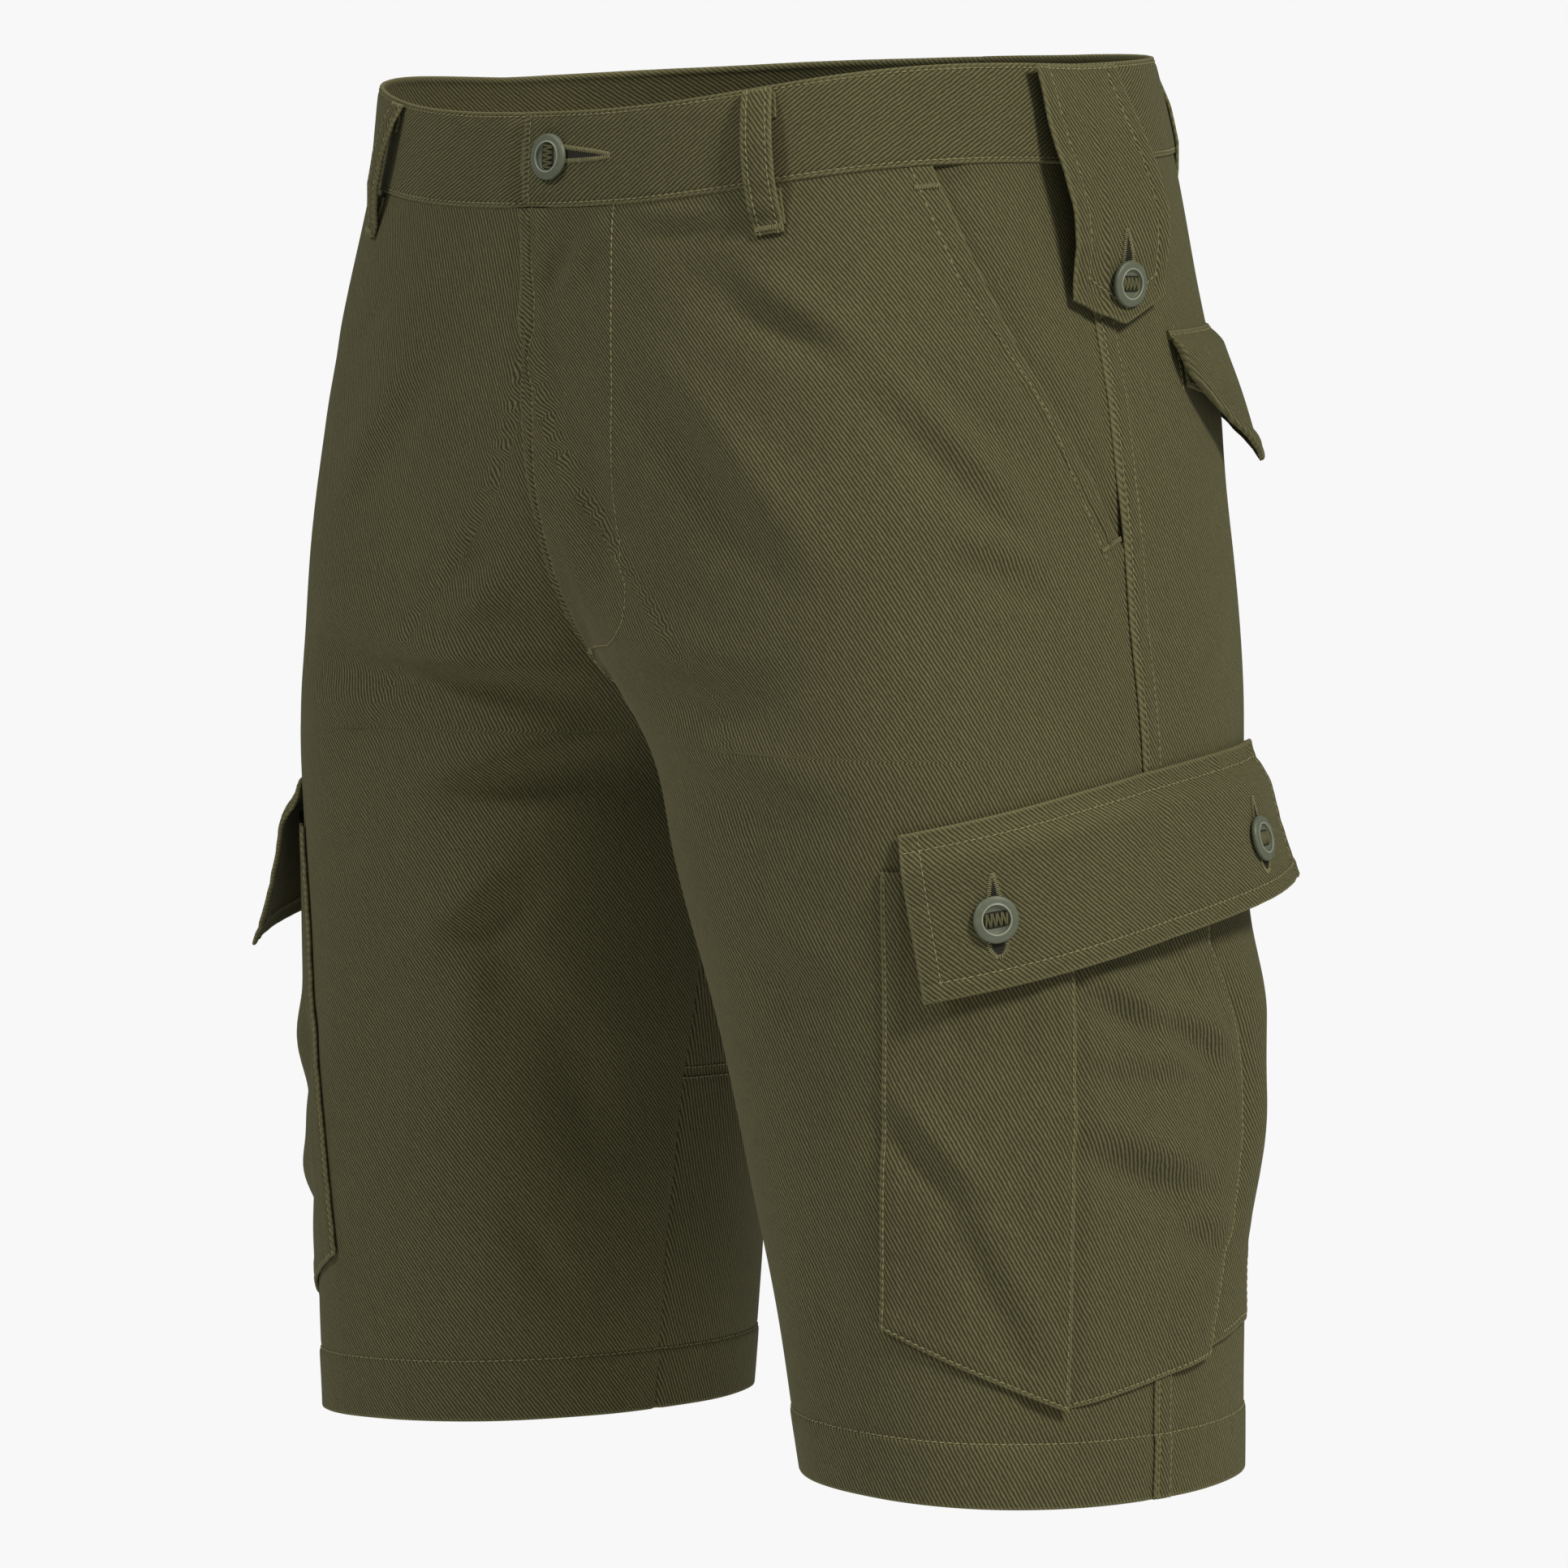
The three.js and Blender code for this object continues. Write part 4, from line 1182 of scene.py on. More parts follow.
def cargoFlapPlace(side):
    def place(u, v):
        lean = mix(flap["frontLean"], flap["rearLean"], u) * v
        across = mix(flap["front"], flap["rear"], u) + lean
        height = flap["height"] - flap["rearShorter"] * np.clip(u, 0, 1) ** 2.4
        z = flapTopZ(across) - v * height
        width = flap["rear"] - flap["front"]
        fromFront = u * width
        fromRear = (1 - u) * width
        fromTop = v * height
        fromBottom = (1 - v) * height
        lift = cargoFlapLift(side, u, v) + flap["wall"]
        rows = (
            (fromFront, z, 61, 1),
            (fromRear, z, 62, 1),
            (fromTop, across, 63, 1 + 2.6 * smooth(u, 0.45, 0.8)),
            (fromBottom, across, 64, 1),
        )
        for distance, along, seed, strength in rows:
            lift = lift + groove(distance, flap["stitch"], 0.4)
            lift = lift + swell(distance, flap["stitch"], 0.3)
            drawn = 0.3 * strength * puckers(along, seed, 9)
            lift = lift + drawn * np.exp(-(((distance - 3.5) / 5) ** 2))
        edge = np.minimum(np.minimum(fromFront, fromRear), np.minimum(fromTop, fromBottom))
        return across, z, lift, edge

    return place


for side in (left, right):
    suffix = sideNames[side]
    built = (
        ("cargo_front", cargoFrontPlace, gridLines(74, 2.4, (1.6, 8, 66, 72.4)), 205, 1.4),
        ("cargo_rear", cargoRearPlace, gridLines(114, 2.4, (106, 112.4)), 205, 1.4),
        ("cargo_gusset", gussetPlace, gridLines(70, 2.4, (68.2,)), 205, 1.4),
        ("cargo_flap", cargoFlapPlace(side), gridLines(206, 2.2, (7, 199)), 65, 2),
    )
    for name, place, us, height, wall in built:
        near = (7, 58) if name == "cargo_flap" else (height - 1.6, height - 8)
        vs = gridLines(height, 2.2, near)
        material = flapTwill if name == "cargo_flap" else panelTwill
        made = clothSheet(f"{name}_{suffix}", side, place, us, vs, wall, material)
        keep(made, [f"{name}_{suffix}"])
print("cargo pockets made")


# Back pockets, set in: a narrow welt below each mouth, and a pointed flap with a thick rolled edge

backWelt = {"front": 48, "rear": 172, "top": -113, "height": 13, "wall": 1.6, "sag": 8, "mouth": 8.5}
backFlap = {
    "front": 40,
    "rear": 180,
    "top": -104,
    "sideHeight": 5,
    "tipHeight": 54,
    "fullness": 0.5,
    "standOff": 11,
    "wall": 2,
    "stitch": 9,
    "rollWidth": 5.5,
    "rollHeight": 1.6,
}


def fromMiddle(u):
    return 1 - np.abs(2 * u - 1)


def backWeltPlace(u, v):
    across = mix(backWelt["front"], backWelt["rear"], u)
    z = backWelt["top"] - backWelt["sag"] * np.sin(math.pi * u) - v * backWelt["height"]
    fromSide = np.minimum(u, 1 - u) * (backWelt["rear"] - backWelt["front"])
    fromEnd = np.minimum(v, 1 - v) * backWelt["height"]
    lift = 0.5 + backWelt["wall"] + 0.2 * puckers(across, 71, 12)
    return across, z, lift, np.minimum(fromSide, fromEnd)


# A near-black sheet of painted shade, standing just off the panel, for the shadow in the pocket's mouth
# between the flap's seam and the sagging welt.
def mouthPaintedShadePlace(u, v):
    across = mix(backWelt["front"], backWelt["rear"], u)
    high = backWelt["mouth"] + backWelt["sag"] * np.sin(math.pi * u)
    return across, backWelt["top"] + backWelt["mouth"] - v * high, 0.7 + 0 * u, 9 + 0 * u


def backFlapHeight(u):
    middle = np.maximum(fromMiddle(u), 0) ** backFlap["fullness"]
    return mix(backFlap["sideHeight"], backFlap["tipHeight"], middle)


def backFlapPlace(u, v):
    across = mix(backFlap["front"], backFlap["rear"], u)
    height = backFlapHeight(u)
    fromTop = v * height
    fromBottom = (1 - v) * height * 0.8
    lift = 3.7 * smooth(fromTop, 0, 9) - 1 + backFlap["wall"]
    middle = np.maximum(fromMiddle(u), 0) ** 0.9
    lift = lift + backFlap["standOff"] * middle * np.clip(v, 0, 1) ** 1.3
    fromSide = np.minimum(u, 1 - u) * (backFlap["rear"] - backFlap["front"])
    lift = lift + groove(fromTop, 1.8, 0.4)
    lift = lift + 0.3 * puckers(across, 73, 10) * np.exp(-(((fromTop - 3) / 4) ** 2))
    lift = lift + 0.35 * puckers(across, 75, 16) * smooth(fromTop, 4, 20)
    roll = np.clip(1 - (2 * fromBottom / backFlap["rollWidth"] - 1) ** 2, 0, 1)
    lift = lift + backFlap["rollHeight"] * np.sqrt(roll)
    return across, backFlap["top"] - fromTop, lift, np.minimum(fromSide, np.minimum(fromTop, fromBottom))


# Near-black painted shade for the shadow in each back pocket's mouth.
mouthPaintedShade = threadAndPaintedShade("pocketMouthPaintedShade", "#1b1a12")
mouthShadeSheets = []
for side in (left, right):
    suffix = sideNames[side]
    us = gridLines(124, 2.6, ())
    vs = gridLines(13, 1.3, ())
    name = f"back_welt_{suffix}"
    keep(clothSheet(name, side, backWeltPlace, us, vs, 1.6, panelTwill), [name])
    name = f"back_mouth_{suffix}"
    made = clothSheet(name, side, mouthPaintedShadePlace, us, vs, 0.6, mouthPaintedShade)
    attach(made, "root")
    mouthShadeSheets.append(made)
    us = gridLines(140, 2.2, (70,))
    vs = gridLines(60, 1.6, (1.8, 52, 54))
    name = f"back_flap_{suffix}"
    keep(clothSheet(name, side, backFlapPlace, us, vs, 2, flapTwill), [name])
print("back pockets made")


# Sewing: stitches set along paths by Geometry Nodes

stitchKinds = {
    "topstitch": {"Pitch": 2.9, "Length": 2.4, "Width": 0.62, "Lift": 0.12, "Turn": 7},
    "bartack": {"Pitch": 0.6, "Length": 2.5, "Width": 0.6, "Lift": 0.35, "Turn": 84},
    "buttonhole": {"Pitch": 0.72, "Length": 2.1, "Width": 0.52, "Lift": 0.3, "Turn": 88},
}


def sewingTree():
    tree = bpy.data.node_groups.new("sewnStitches", "GeometryNodeTree")
    sockets = tree.interface
    sockets.new_socket("Geometry", in_out="OUTPUT", socket_type="NodeSocketGeometry")
    sockets.new_socket("Path", in_out="INPUT", socket_type="NodeSocketGeometry")
    for name in ("Pitch", "Length", "Width", "Lift", "Turn", "Wander"):
        sockets.new_socket(name, in_out="INPUT", socket_type="NodeSocketFloat")
    sockets.new_socket("Seed", in_out="INPUT", socket_type="NodeSocketInt")
    sockets.new_socket("Thread", in_out="INPUT", socket_type="NodeSocketMaterial")
    given = tree.nodes.new("NodeGroupInput").outputs
    line = addNode(tree, "GeometryNodeMeshToCurve", {"Mesh": given["Path"]})
    evened = addNode(
        tree,
        "GeometryNodeResampleCurve",
        {"Curve": line.outputs[0], "Length": given["Pitch"]},
        mode="LENGTH",
    )
    outwards = addNode(
        tree, "GeometryNodeInputNamedAttribute", {"Name": "outwards"}, data_type="FLOAT_VECTOR"
    )
    raised = addNode(
        tree,
        "ShaderNodeVectorMath",
        {0: outwards.outputs[0], "Scale": given["Lift"]},
        operation="SCALE",
    )
    placed = addNode(
        tree,
        "GeometryNodeSetPosition",
        {"Geometry": evened.outputs[0], "Offset": raised.outputs[0]},
    )
    tangent = addNode(tree, "GeometryNodeInputTangent")
    axes = addNode(
        tree,
        "FunctionNodeAxesToRotation",
        {"Primary Axis": tangent.outputs[0], "Secondary Axis": outwards.outputs[0]},
        primary_axis="Z",
        secondary_axis="X",
    )
    wander = addNode(
        tree,
        "FunctionNodeRandomValue",
        {2: -1.0, 3: 1.0, "Seed": given["Seed"]},
        data_type="FLOAT",
    )
    shake = addNode(
        tree,
        "ShaderNodeMath",
        {0: wander.outputs[1], 1: given["Wander"], 2: given["Turn"]},
        operation="MULTIPLY_ADD",
    )
    turn = addNode(
        tree,
        "FunctionNodeAxisAngleToRotation",
        {"Axis": (1, 0, 0), "Angle": shake.outputs[0]},
    )
    turned = addNode(
        tree,
        "FunctionNodeRotateRotation",
        {"Rotation": axes.outputs[0], "Rotate By": turn.outputs[0]},
        rotation_space="LOCAL",
    )
    stitch = addNode(tree, "GeometryNodeMeshUVSphere", {"Segments": 6, "Rings": 4, "Radius": 0.5})
    size = addNode(
        tree,
        "ShaderNodeCombineXYZ",
        {"X": given["Width"], "Y": given["Width"], "Z": given["Length"]},
    )
    row = addNode(
        tree,
        "GeometryNodeInstanceOnPoints",
        {
            "Points": placed.outputs[0],
            "Instance": stitch.outputs["Mesh"],
            "Rotation": turned.outputs[0],
            "Scale": size.outputs[0],
        },
    )
    real = addNode(tree, "GeometryNodeRealizeInstances", {"Geometry": row.outputs[0]})
    rounded = addNode(tree, "GeometryNodeSetShadeSmooth", {"Geometry": real.outputs[0]})
    threaded = addNode(
        tree,
        "GeometryNodeSetMaterial",
        {"Geometry": rounded.outputs[0], "Material": given["Thread"]},
    )
    addNode(tree, "NodeGroupOutput", {"Geometry": threaded.outputs[0]})
    return tree


sewing = sewingTree()


def sewnRows(name, rows, kind, thread, seed=1):
    mesh = bpy.data.meshes.new(f"{name}_path")
    points = np.vstack([row[0] for row in rows]) * mm
    outs = np.vstack([row[1] for row in rows])
    edges = []
    first = 0
    for row in rows:
        count = len(row[0])
        edges += [(first + i, first + i + 1) for i in range(count - 1)]
        first += count
    mesh.from_pydata(points.tolist(), edges, [])
    mesh.attributes.new("outwards", "FLOAT_VECTOR", "POINT").data.foreach_set(
        "vector", outs.ravel()
    )
    path = bpy.data.objects.new(f"{name}_path", mesh)
    bpy.context.scene.collection.objects.link(path)
    modifier = path.modifiers.new("sewing", "NODES")
    modifier.node_group = sewing
    sizes = stitchKinds[kind]
    values = {
        "Pitch": sizes["Pitch"] * mm,
        "Length": sizes["Length"] * mm,
        "Width": sizes["Width"] * mm,
        "Lift": sizes["Lift"] * mm,
        "Turn": math.radians(sizes["Turn"]),
        "Wander": 0.09,
        "Seed": seed,
        "Thread": thread,
    }
    identifiers = {s.name: s.identifier for s in sewing.interface.items_tree if s.in_out == "INPUT"}
    for key, value in values.items():
        modifier[identifiers[key]] = value
    evaluated = path.evaluated_get(bpy.context.evaluated_depsgraph_get())
    made = bpy.data.objects.new(name, bpy.data.meshes.new_from_object(evaluated))
    bpy.context.scene.collection.objects.link(made)
    path.modifiers.clear()
    bpy.data.objects.remove(path)
    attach(made, "root")
    return made


def span(start, end, count=12):
    return np.linspace(start, end, count)


# Near-black painted shade for the buttonhole gaps and the button slots.
slitShade = threadAndPaintedShade("buttonholeSlitShade", "#26251a")
flyRow = {
    "z": (39, 85, 155, 171, 188, 195, 203, 211, 217, 221, 225),
    "fromFront": (46, 46, 43, 43.5, 47.5, 49.5, 50, 48.6, 44, 36, 5),
}
bodyRows = []
tacks = []
for side in (left, right):
    front = frontFace(side)
    mouthDown = np.array([39, 83, 133.5, 189])
    mouthRow = np.array([-78.6, -67, -37, -12.5])
    bodyRows.append(pathOn(side, front, mouthRow, mouthDown, 0.5))
    tacks.append(pathOn(side, front, span(-78.5, -69, 4), span(46, 46, 4), 0.5, 1))
    tacks.append(pathOn(side, front, span(-15, -3, 4), span(184, 180, 4), 0.5, 1))
    hem = np.full(80, -body["hem"] - panel["hemStitch"])
    frontHem = np.linspace(acrossFront(-hem[0]) + 0.5, -1, 80)
    backHem = np.linspace(-1, acrossBack(-hem[0]) - 0.5, 80)
    bodyRows.append(pathOn(side, front, frontHem, hem, 0.5))
    bodyRows.append(pathOn(side, backFace, backHem, hem, 0.5))
    for across in (0.6, 7.2):
        bodyRows.append(pathOn(side, backFace, span(across, across, 60), span(39, 544, 60), 0.5))
    crossAcross = acrossBack(-405.0) - span(1, 150, 30)
    for down in (403.2, 407.6):
        bodyRows.append(pathOn(side, backFace, crossAcross, span(down, down, 30), 0.5))
front = frontFace(left)
flyDown = np.array(flyRow["z"], float)
flyAcross = acrossFront(-flyDown) + np.array(flyRow["fromFront"])
bodyRows.append(pathOn(left, front, flyAcross, flyDown, 0.5))
edgeDown = span(39, 226, 60)
bodyRows.append(pathOn(left, front, acrossFront(-edgeDown) + panel["flyRow"], edgeDown, 0.5))
seamDown = span(228, 258, 20)
for inset in (0.8, 6.5):
    bodyRows.append(pathOn(left, front, acrossFront(-seamDown) + inset, seamDown, 0.5))
backDown = span(39, 255, 60)
for inset in (1.6, 7.6):
    bodyRows.append(pathOn(left, backFace, acrossBack(-backDown) - inset, backDown, 0.5))
tackDown = span(226, 226, 4)
tacks.append(pathOn(left, front, acrossFront(-226.0) + span(-1, 9, 4), tackDown, 0.5, 1))

bandRowsSewn = []
for side, place, length in ((left, leftBandPlace, 470), (right, rightBandPlace, 512)):
    for v in (1.9 / 38, 1 - 1.9 / 38):
        bandRowsSewn.append(pathOn(side, place, span(0.004, 0.998, 160), span(v, v, 160)))
bandRowsSewn.append(pathOn(left, leftBandPlace, span(2.2 / 470, 2.2 / 470, 6), span(0.05, 0.95, 6)))
boxAcross = (band["underlap"] + 3) / 512
tacks.append(pathOn(right, rightBandPlace, span(boxAcross, boxAcross, 4), span(0.3, 0.66, 4), step=1))

loopRows = []
for where, side, across, lean in loop["places"]:
    place = loopPlace(across, lean)
    for u in (0.2, 0.8):
        loopRows.append(pathOn(side, place, span(u, u, 30), span(0.02, 0.98, 30)))
    tacks.append(pathOn(side, place, span(0.1, 0.9, 4), span(0.93, 0.93, 4), step=1))
for side in (left, right):
    tabVs = span(0.02, 0.86, 30)
    inset = tab["stitch"] / 48
    for u in (inset, 1 - inset):
        loopRows.append(pathOn(side, tabPlace, span(u, u, 30), tabVs))
    pointU = np.array([inset, 0.5, 1 - inset])
    pointV = np.array([0.86, 0.925, 0.86])
    loopRows.append(pathOn(side, tabPlace, pointU, pointV))
    loopRows.append(pathOn(side, tabPlace, span(0.04, 0.96, 12), span(0.02, 0.02, 12)))

cargoRows = []
for side in (left, right):
    u = cargo["stitch"] / 74
    v = 1 - cargo["stitch"] / 205
    cargoRows.append(pathOn(side, cargoFrontPlace, span(u, u, 40), span(0.02, v, 40)))
    cargoRows.append(pathOn(side, cargoFrontPlace, span(1 - u, 1 - u, 40), span(0.02, v, 40)))
    cargoRows.append(pathOn(side, cargoFrontPlace, span(u, 1 - u, 20), span(v, v, 20)))
    u = cargo["stitch"] / 114
    start = (cargo["pleatUnder"] + 1) / 114
    cargoRows.append(pathOn(side, cargoRearPlace, span(1 - u, 1 - u, 40), span(0.02, v, 40)))
    cargoRows.append(pathOn(side, cargoRearPlace, span(start, 1 - u, 20), span(v, v, 20)))
    cargoRows.append(pathOn(side, gussetPlace, span(0.97, 0.97, 40), span(0.02, 0.98, 40)))
    cargoRows.append(pathOn(side, gussetPlace, span(0.4, 0.97, 8), span(0.985, 0.985, 8)))
    flapPlace = cargoFlapPlace(side)
    u = flap["stitch"] / 206
    v = flap["stitch"] / flap["height"]
    corners = ((0.01, v), (1 - u, v), (1 - u, 1 - v), (u, 1 - v), (u, 0.03))
    for a, b in zip(corners[:-1], corners[1:]):
        cargoRows.append(
            pathOn(side, flapPlace, span(a[0], b[0], 40), span(a[1], b[1], 40))
        )

backRows = []
for side in (left, right):
    mouthFront = span(backWelt["front"] - 1.5, backWelt["front"] - 1.5, 8)
    backRows.append(pathOn(side, backFace, mouthFront, span(103, 126, 8), 0.5))
    mouthRear = mouthFront + backWelt["rear"] - backWelt["front"] + 3
    backRows.append(pathOn(side, backFace, mouthRear, span(103, 126, 8), 0.5))
    us = span(0, 1, 40)
    backRows.append(pathOn(side, backWeltPlace, us, span(0.88, 0.88, 40)))
    us = span(0.01, 0.99, 60)
    topRow = np.minimum(1.8 / backFlapHeight(us), 0.5)
    backRows.append(pathOn(side, backFlapPlace, us, topRow))

sewnRows("topstitch_body", bodyRows, "topstitch", topThread, 1)
sewnRows("topstitch_waistband", bandRowsSewn, "topstitch", topThread, 2)
sewnRows("topstitch_loops_and_tabs", loopRows, "topstitch", topThread, 3)
sewnRows("topstitch_cargo_pockets", cargoRows, "topstitch", topThread, 4)
sewnRows("topstitch_back_pockets", backRows, "topstitch", topThread, 5)
sewnRows("bartacks", tacks, "bartack", tackThread, 6)
print("stitches sewn")


# Buttonholes: two rows of close stitches, drawn apart by the button's shank, which meet in a tack,
# with a dark strip of painted shade in the gap between them

buttonhole = {"halfGap": 2.5, "closed": 0.04, "stitchOut": 1.0, "steps": 20}


# widthOf is 1 mm across the hole in u and v; peak is where it stands open most, from 0 to 1.
def holePaths(side, place, start, end, widthOf, peak):
    t = span(0, 1, buttonhole["steps"])
    closed = buttonhole["closed"]
    openness = np.interp(t, (0, max(peak, 0.001), 1), (0.8, 1, closed))
    half = buttonhole["halfGap"] * openness * np.sqrt(np.clip(t / 0.1, 0.01, 1))
    us = mix(start[0], end[0], t)
    vs = mix(start[1], end[1], t)
    rows = []
    edges = []
    out = half + buttonhole["stitchOut"] * np.interp(t, (0, 0.1, 0.75, 1), (0.7, 1, 0.9, 0.3))
    for way in (-1, 1):
        rows.append(pathOn(side, place, us + way * out * widthOf[0], vs + way * out * widthOf[1], step=1))
        across, z, lift, _ = place(us + way * half * widthOf[0], vs + way * half * widthOf[1])
        edges.append(at(side, across, z, lift + 0.07))
    ends = [us[0] + way * out[0] * widthOf[0] for way in (-1, 1)]
    downs = [vs[0] + way * out[0] * widthOf[1] for way in (-1, 1)]
    rows.append(pathOn(side, place, span(*ends, 4), span(*downs, 4), step=0.8))
    return rows, edges


onBand = (0, 1 / 38)
onTab = (1 / 48, 0)
onCargoFlap = (1 / 206, 0)
holes = [(left, leftBandPlace, (13 / 470, 16.5 / 38), (44 / 470, 18.5 / 38), onBand, 0)]
for side in (left, right):
    flapPlace = cargoFlapPlace(side)
    holes.append((side, tabPlace, (0.52, 0.93), (0.52, 0.64), onTab, 0.4))
    holes.append((side, flapPlace, (0.139, 0.81), (0.147, 0.32), onCargoFlap, 0.3))
    holes.append((side, flapPlace, (0.805, 0.82), (0.809, 0.32), onCargoFlap, 0.3))
holeRows = []
gapPoints = []
gapFaces = []
for side, place, start, end, widthOf, peak in holes:
    rows, edges = holePaths(side, place, start, end, widthOf, peak)
    holeRows += rows
    base = len(gapPoints)
    count = len(edges[0])
    gapPoints += [*edges[0], *edges[1]]
    for i in range(count - 1):
        face = (base + i, base + i + 1, base + count + i + 1, base + count + i)
        gapFaces.append(face)
sewnRows("buttonhole_stitches", holeRows, "buttonhole", holeThread, 7)
# Painted shade: a near-black sheet just above the cloth in each buttonhole's gap.
gaps = meshObject("buttonhole_gaps", gapPoints, gapFaces, slitShade)
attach(gaps, "root")
print("buttonholes sewn")


# Buttons: a dished disc with a wide rim, sewn on through a well by a block of threads

button = {
    "profile": (
        (0, 0), (7.6, 0), (8.6, 0.25), (8.95, 0.7), (9, 1.25), (8.92, 1.75), (8.65, 2.15),
        (8.2, 2.36), (6.7, 2.42), (6.25, 2.44), (6.05, 2.62), (5.8, 2.7), (5.58, 2.56),
        (5.42, 2.0), (5.3, 1.5), (5.0, 1.35), (0, 1.3),
    ),
    "beadRadius": 5.82,
    "segments": 48,
    "threadWide": 5.2,
    "threadHigh": 9.2,
    "strands": 9,
    "strandSides": 7,
    "slotMargin": 0.55,
}


def buttonFrame(side, place, u, v):
    near = 0.01
    middle = at(side, *place(u, v)[:3])
    across = at(side, *place(u + near, v)[:3]) - at(side, *place(u - near, v)[:3])
    down = at(side, *place(u, v + near)[:3]) - at(side, *place(u, v - near)[:3])
    out = -side * np.cross(across, down)
    out /= np.linalg.norm(out)
    upward = -down + out * np.dot(down, out)
    upward /= np.linalg.norm(upward)
    return middle + out * 0.3, np.cross(upward, out), upward, out


def buttonDisc(name, framing):
    centre, sideways, upward, out = framing
    count = button["segments"]
    turn = np.linspace(0, 2 * math.pi, count, endpoint=False)
    points = [centre]
    for r, h in button["profile"][1:-1]:
        ring = np.outer(np.cos(turn) * r, sideways) + np.outer(np.sin(turn) * r, upward)
        points += list(centre + ring + out * h)
    points.append(centre + out * button["profile"][-1][1])
    faces = [(0, 1 + (i + 1) % count, 1 + i) for i in range(count)]
    rings = len(button["profile"]) - 2
    for k in range(rings - 1):
        a = 1 + k * count
        for i in range(count):
            j = (i + 1) % count
            faces.append((a + i, a + j, a + count + j, a + count + i))
    last = 1 + (rings - 1) * count
    faces += [(last + i, last + (i + 1) % count, len(points) - 1) for i in range(count)]
    fromBead = [9.0]
    for r, h in button["profile"][1:-1]:
        fromBead += [abs(r - button["beadRadius"]) if h > 2 else 9.0] * count
    made = meshObject(name, points, faces, plastic, edge=fromBead + [9.0])
    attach(made, "root")
    return made


# Thread wraps over the bar of the well, side by side, each a small arched tube.
def threadBlock(framing, upright):
    centre, sideways, upward, out = framing
    if not upright:
        sideways, upward = upward, -sideways
    points = []
    faces = []
    random = np.random.default_rng(5)
    sidesCount = button["strandSides"]
    for k in range(button["strands"]):
        high = (k / (button["strands"] - 1) - 0.5) * (button["threadHigh"] - 0.9)
        tilt = (0.45 if k % 2 else -0.45) + random.uniform(-0.15, 0.15)
        steps = np.linspace(-1, 1, 9)
        base = len(points)
        for s in steps:
            arch = 1.15 + 0.75 * (1 - s * s) ** 0.5
            middle = centre + sideways * (s * button["threadWide"] / 2)
            middle = middle + upward * (high + tilt * s) + out * (arch + random.uniform(-0.08, 0.08))
            for i in range(sidesCount):
                turn = 2 * math.pi * i / sidesCount
                points.append(middle + (upward * math.cos(turn) + out * math.sin(turn)) * 0.5)
        for ring in range(len(steps) - 1):
            a = base + ring * sidesCount
            for i in range(sidesCount):
                j = (i + 1) % sidesCount
                faces.append((a + i, a + j, a + sidesCount + j, a + sidesCount + i))
        faces.append(tuple(base + i for i in range(sidesCount))[::-1])
        faces.append(tuple(base + (len(steps) - 1) * sidesCount + i for i in range(sidesCount)))
    return points, faces


# Painted shade: a dark patch on the well's floor, for the shadowed slot that the threads come out of.
def threadSlot(framing, upright):
    centre, sideways, upward, out = framing
    if not upright:
        sideways, upward = upward, -sideways
    points = []
    for i in range(32):
        turn = 2 * math.pi * i / 32
        wide = np.sign(math.cos(turn)) * abs(math.cos(turn)) ** 0.4
        high = np.sign(math.sin(turn)) * abs(math.sin(turn)) ** 0.4
        wide *= button["threadWide"] / 2 + button["slotMargin"]
        high *= button["threadHigh"] / 2 + button["slotMargin"] / 2
        points.append(centre + sideways * wide + upward * high + out * 1.4)
    return points, [tuple(range(32))]


buttons = [("button_waist", left, leftBandPlace, 14.5 / 470, 18 / 38, True)]
for side in (left, right):
    suffix = sideNames[side]
    buttons.append((f"button_tab_{suffix}", side, tabPlace, 0.52, 0.8375, False))
    flapPlace = cargoFlapPlace(side)
    buttons.append((f"button_cargo_front_{suffix}", side, flapPlace, 0.141, 0.59, False))
    buttons.append((f"button_cargo_rear_{suffix}", side, flapPlace, 0.806, 0.6, False))
threadPoints = []
threadFaces = []
slotPoints = []
slotFaces = []
for name, side, place, u, v, upright in buttons:
    framing = buttonFrame(side, place, u, v)
    made = buttonDisc(name, framing)
    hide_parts(name)
    points, faces = threadBlock(framing, upright)
    threadFaces += [tuple(i + len(threadPoints) for i in face) for face in faces]
    threadPoints += points
    points, faces = threadSlot(framing, upright)
    slotFaces += [tuple(i + len(slotPoints) for i in face) for face in faces]
    slotPoints += points
for name, points, faces, material in (
    ("button_threads", threadPoints, threadFaces, shankThread),
    ("button_slots", slotPoints, slotFaces, slitShade),
):
    made = meshObject(name, points, faces, material)
    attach(made, "root")
print("buttons made")


# Loops over the pocket mouths' painted shade sheets and over the loops' tails, which work out each one's
# side or length in metres and keep neither

for mouth in mouthShadeSheets:
    suffix = mouth.name.rsplit("_", 1)[1]
for name, tail in tails.items():
    length = 0.01 if "top" in name else 0.014


# Floor, light and camera

studio = {
    "floorZ": -1.0,
    "floorRadius": 2.2,
    "backdrop": "#f8f8f8",
    "ambient": 0.2,
    "focal": 178.1,
    "eye": (2.193, -2.181, -0.073),
    "target": (0.0064, 0.0064, -0.284),
}


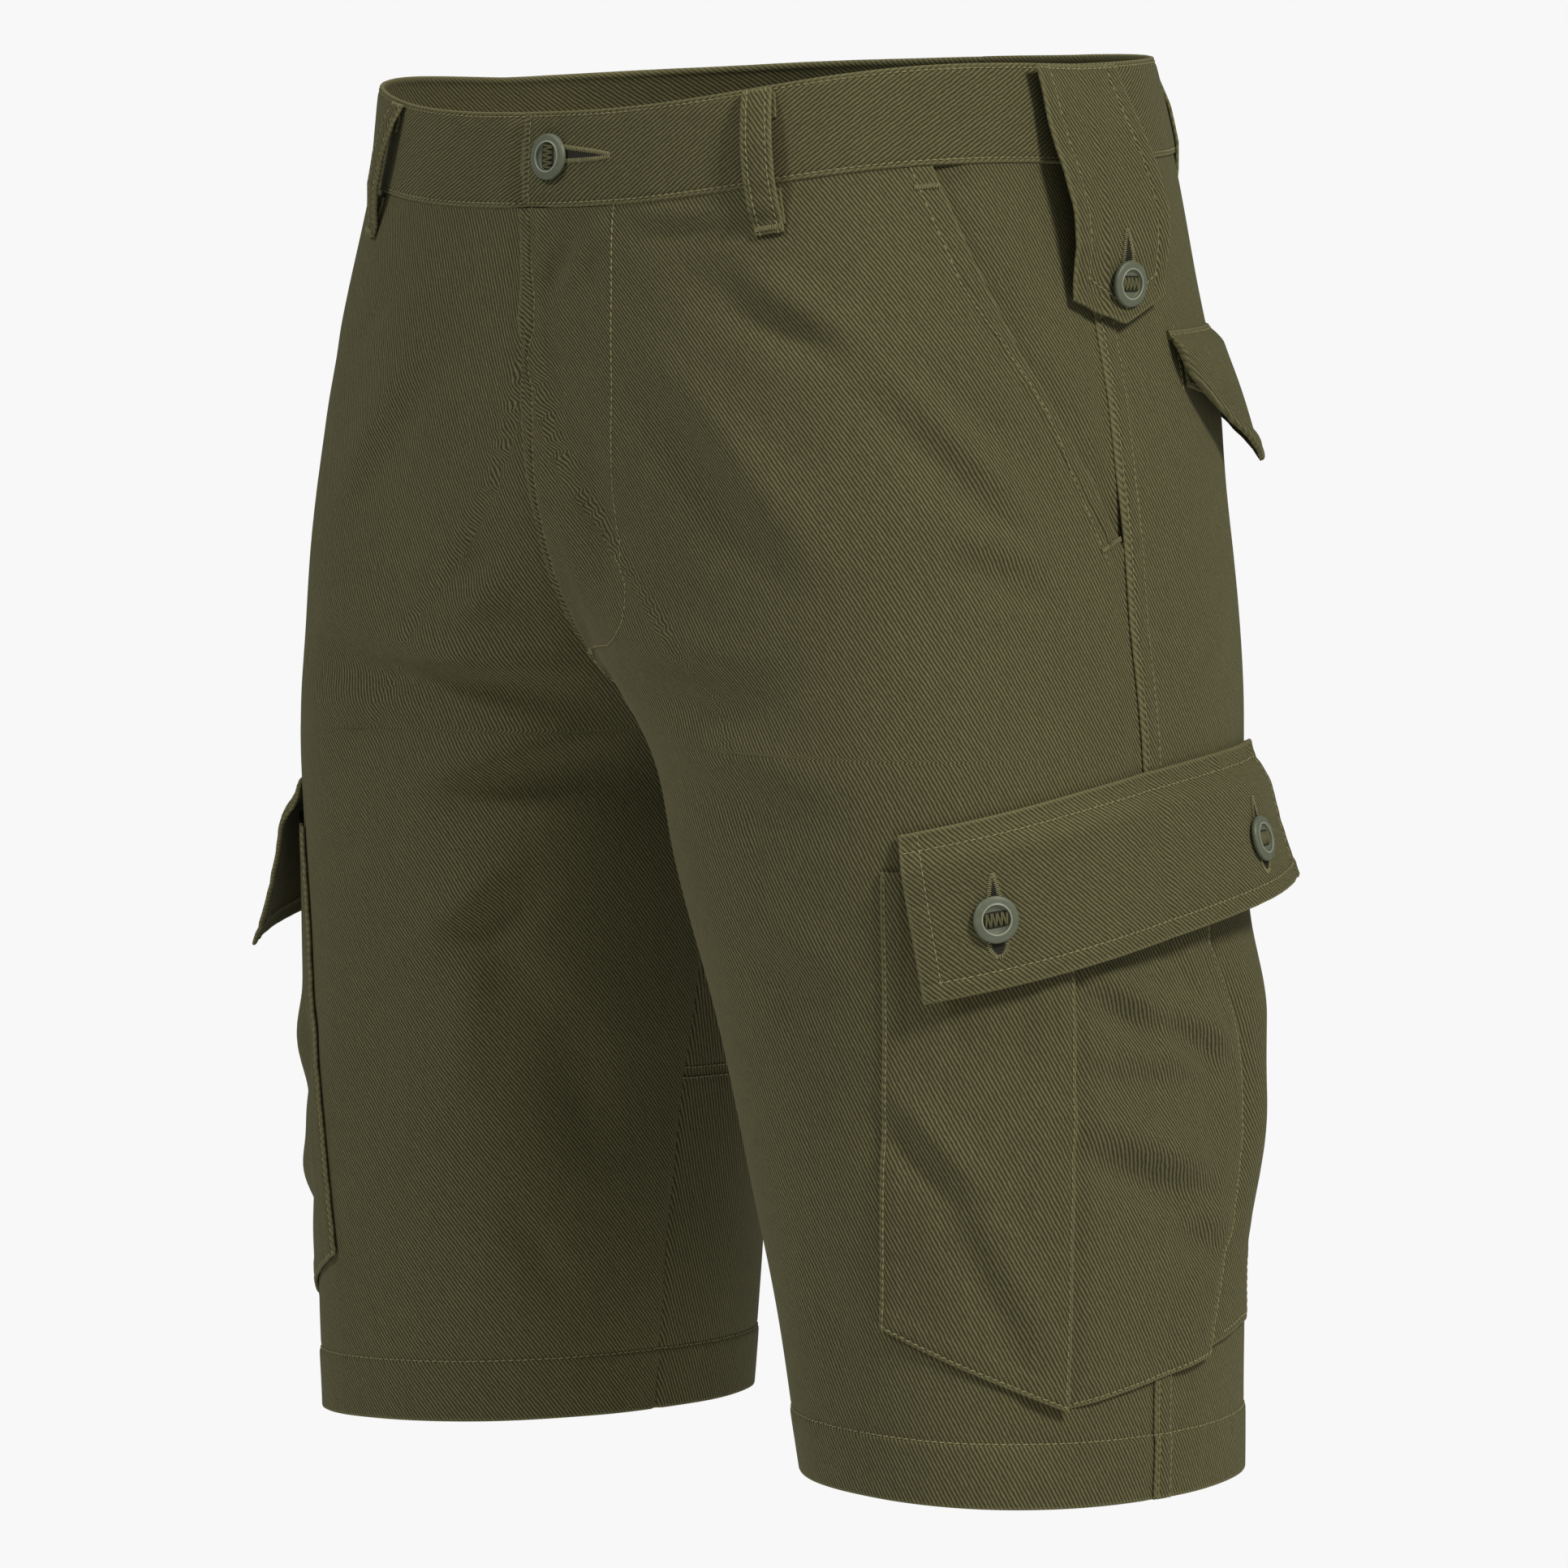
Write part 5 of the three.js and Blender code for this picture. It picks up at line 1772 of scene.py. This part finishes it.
def studioFloor():
    count = 64
    turn = np.linspace(0, 2 * math.pi, count, endpoint=False)
    radius = studio["floorRadius"] / mm
    points = [(math.cos(t) * radius, math.sin(t) * radius, studio["floorZ"] / mm) for t in turn]
    material, tree = newMaterial("paleStudioFloor")
    shader = addNode(
        tree,
        "ShaderNodeBsdfPrincipled",
        {"Base Color": linear("#f4f4f4"), "Roughness": 0.9},
    )
    addNode(tree, "ShaderNodeOutputMaterial", {"Surface": shader.outputs[0]})
    floor = meshObject("studio_floor", points, [tuple(range(count))], material)


def areaLight(name, place, size, power, colour):
    data = bpy.data.lights.new(name, "AREA")
    data.shape = "DISK"
    data.size = size
    data.energy = power
    data.color = linear(colour)[:3]
    light = bpy.data.objects.new(name, data)
    light.location = place
    light.rotation_euler = (Vector((0, 0, -0.28)) - Vector(place)).to_track_quat("-Z", "Y").to_euler()
    bpy.context.scene.collection.objects.link(light)


studioFloor()
areaLight("right_light", (3.0, 0.1, 2.3), 0.9, 106, "#fffaf4")
areaLight("left_light", (-0.7, -2.9, 2.6), 0.8, 62, "#fffdfa")

# The backdrop reads as even white paper, while its light on the cloth is dimmer.
world = bpy.data.worlds.new("paleStudio")
world.use_nodes = True
background = world.node_tree.nodes["Background"]
background.inputs["Color"].default_value = linear(studio["backdrop"])
rays = addNode(world.node_tree, "ShaderNodeLightPath")
strength = addNode(
    world.node_tree,
    "ShaderNodeMapRange",
    {"Value": rays.outputs["Is Camera Ray"], "To Min": studio["ambient"], "To Max": 1.0},
)
world.node_tree.links.new(strength.outputs[0], background.inputs["Strength"])
bpy.context.scene.world = world
bpy.context.scene.view_settings.view_transform = "Standard"

lens = bpy.data.cameras.new("camera")
lens.sensor_width = 36
lens.lens = studio["focal"]
lens.clip_end = 100
camera = bpy.data.objects.new("camera", lens)
camera.location = studio["eye"]
aim = Vector(studio["target"]) - Vector(studio["eye"])
camera.rotation_euler = aim.to_track_quat("-Z", "Y").to_euler()
bpy.context.scene.collection.objects.link(camera)
bpy.context.scene.camera = camera

print("scene made")
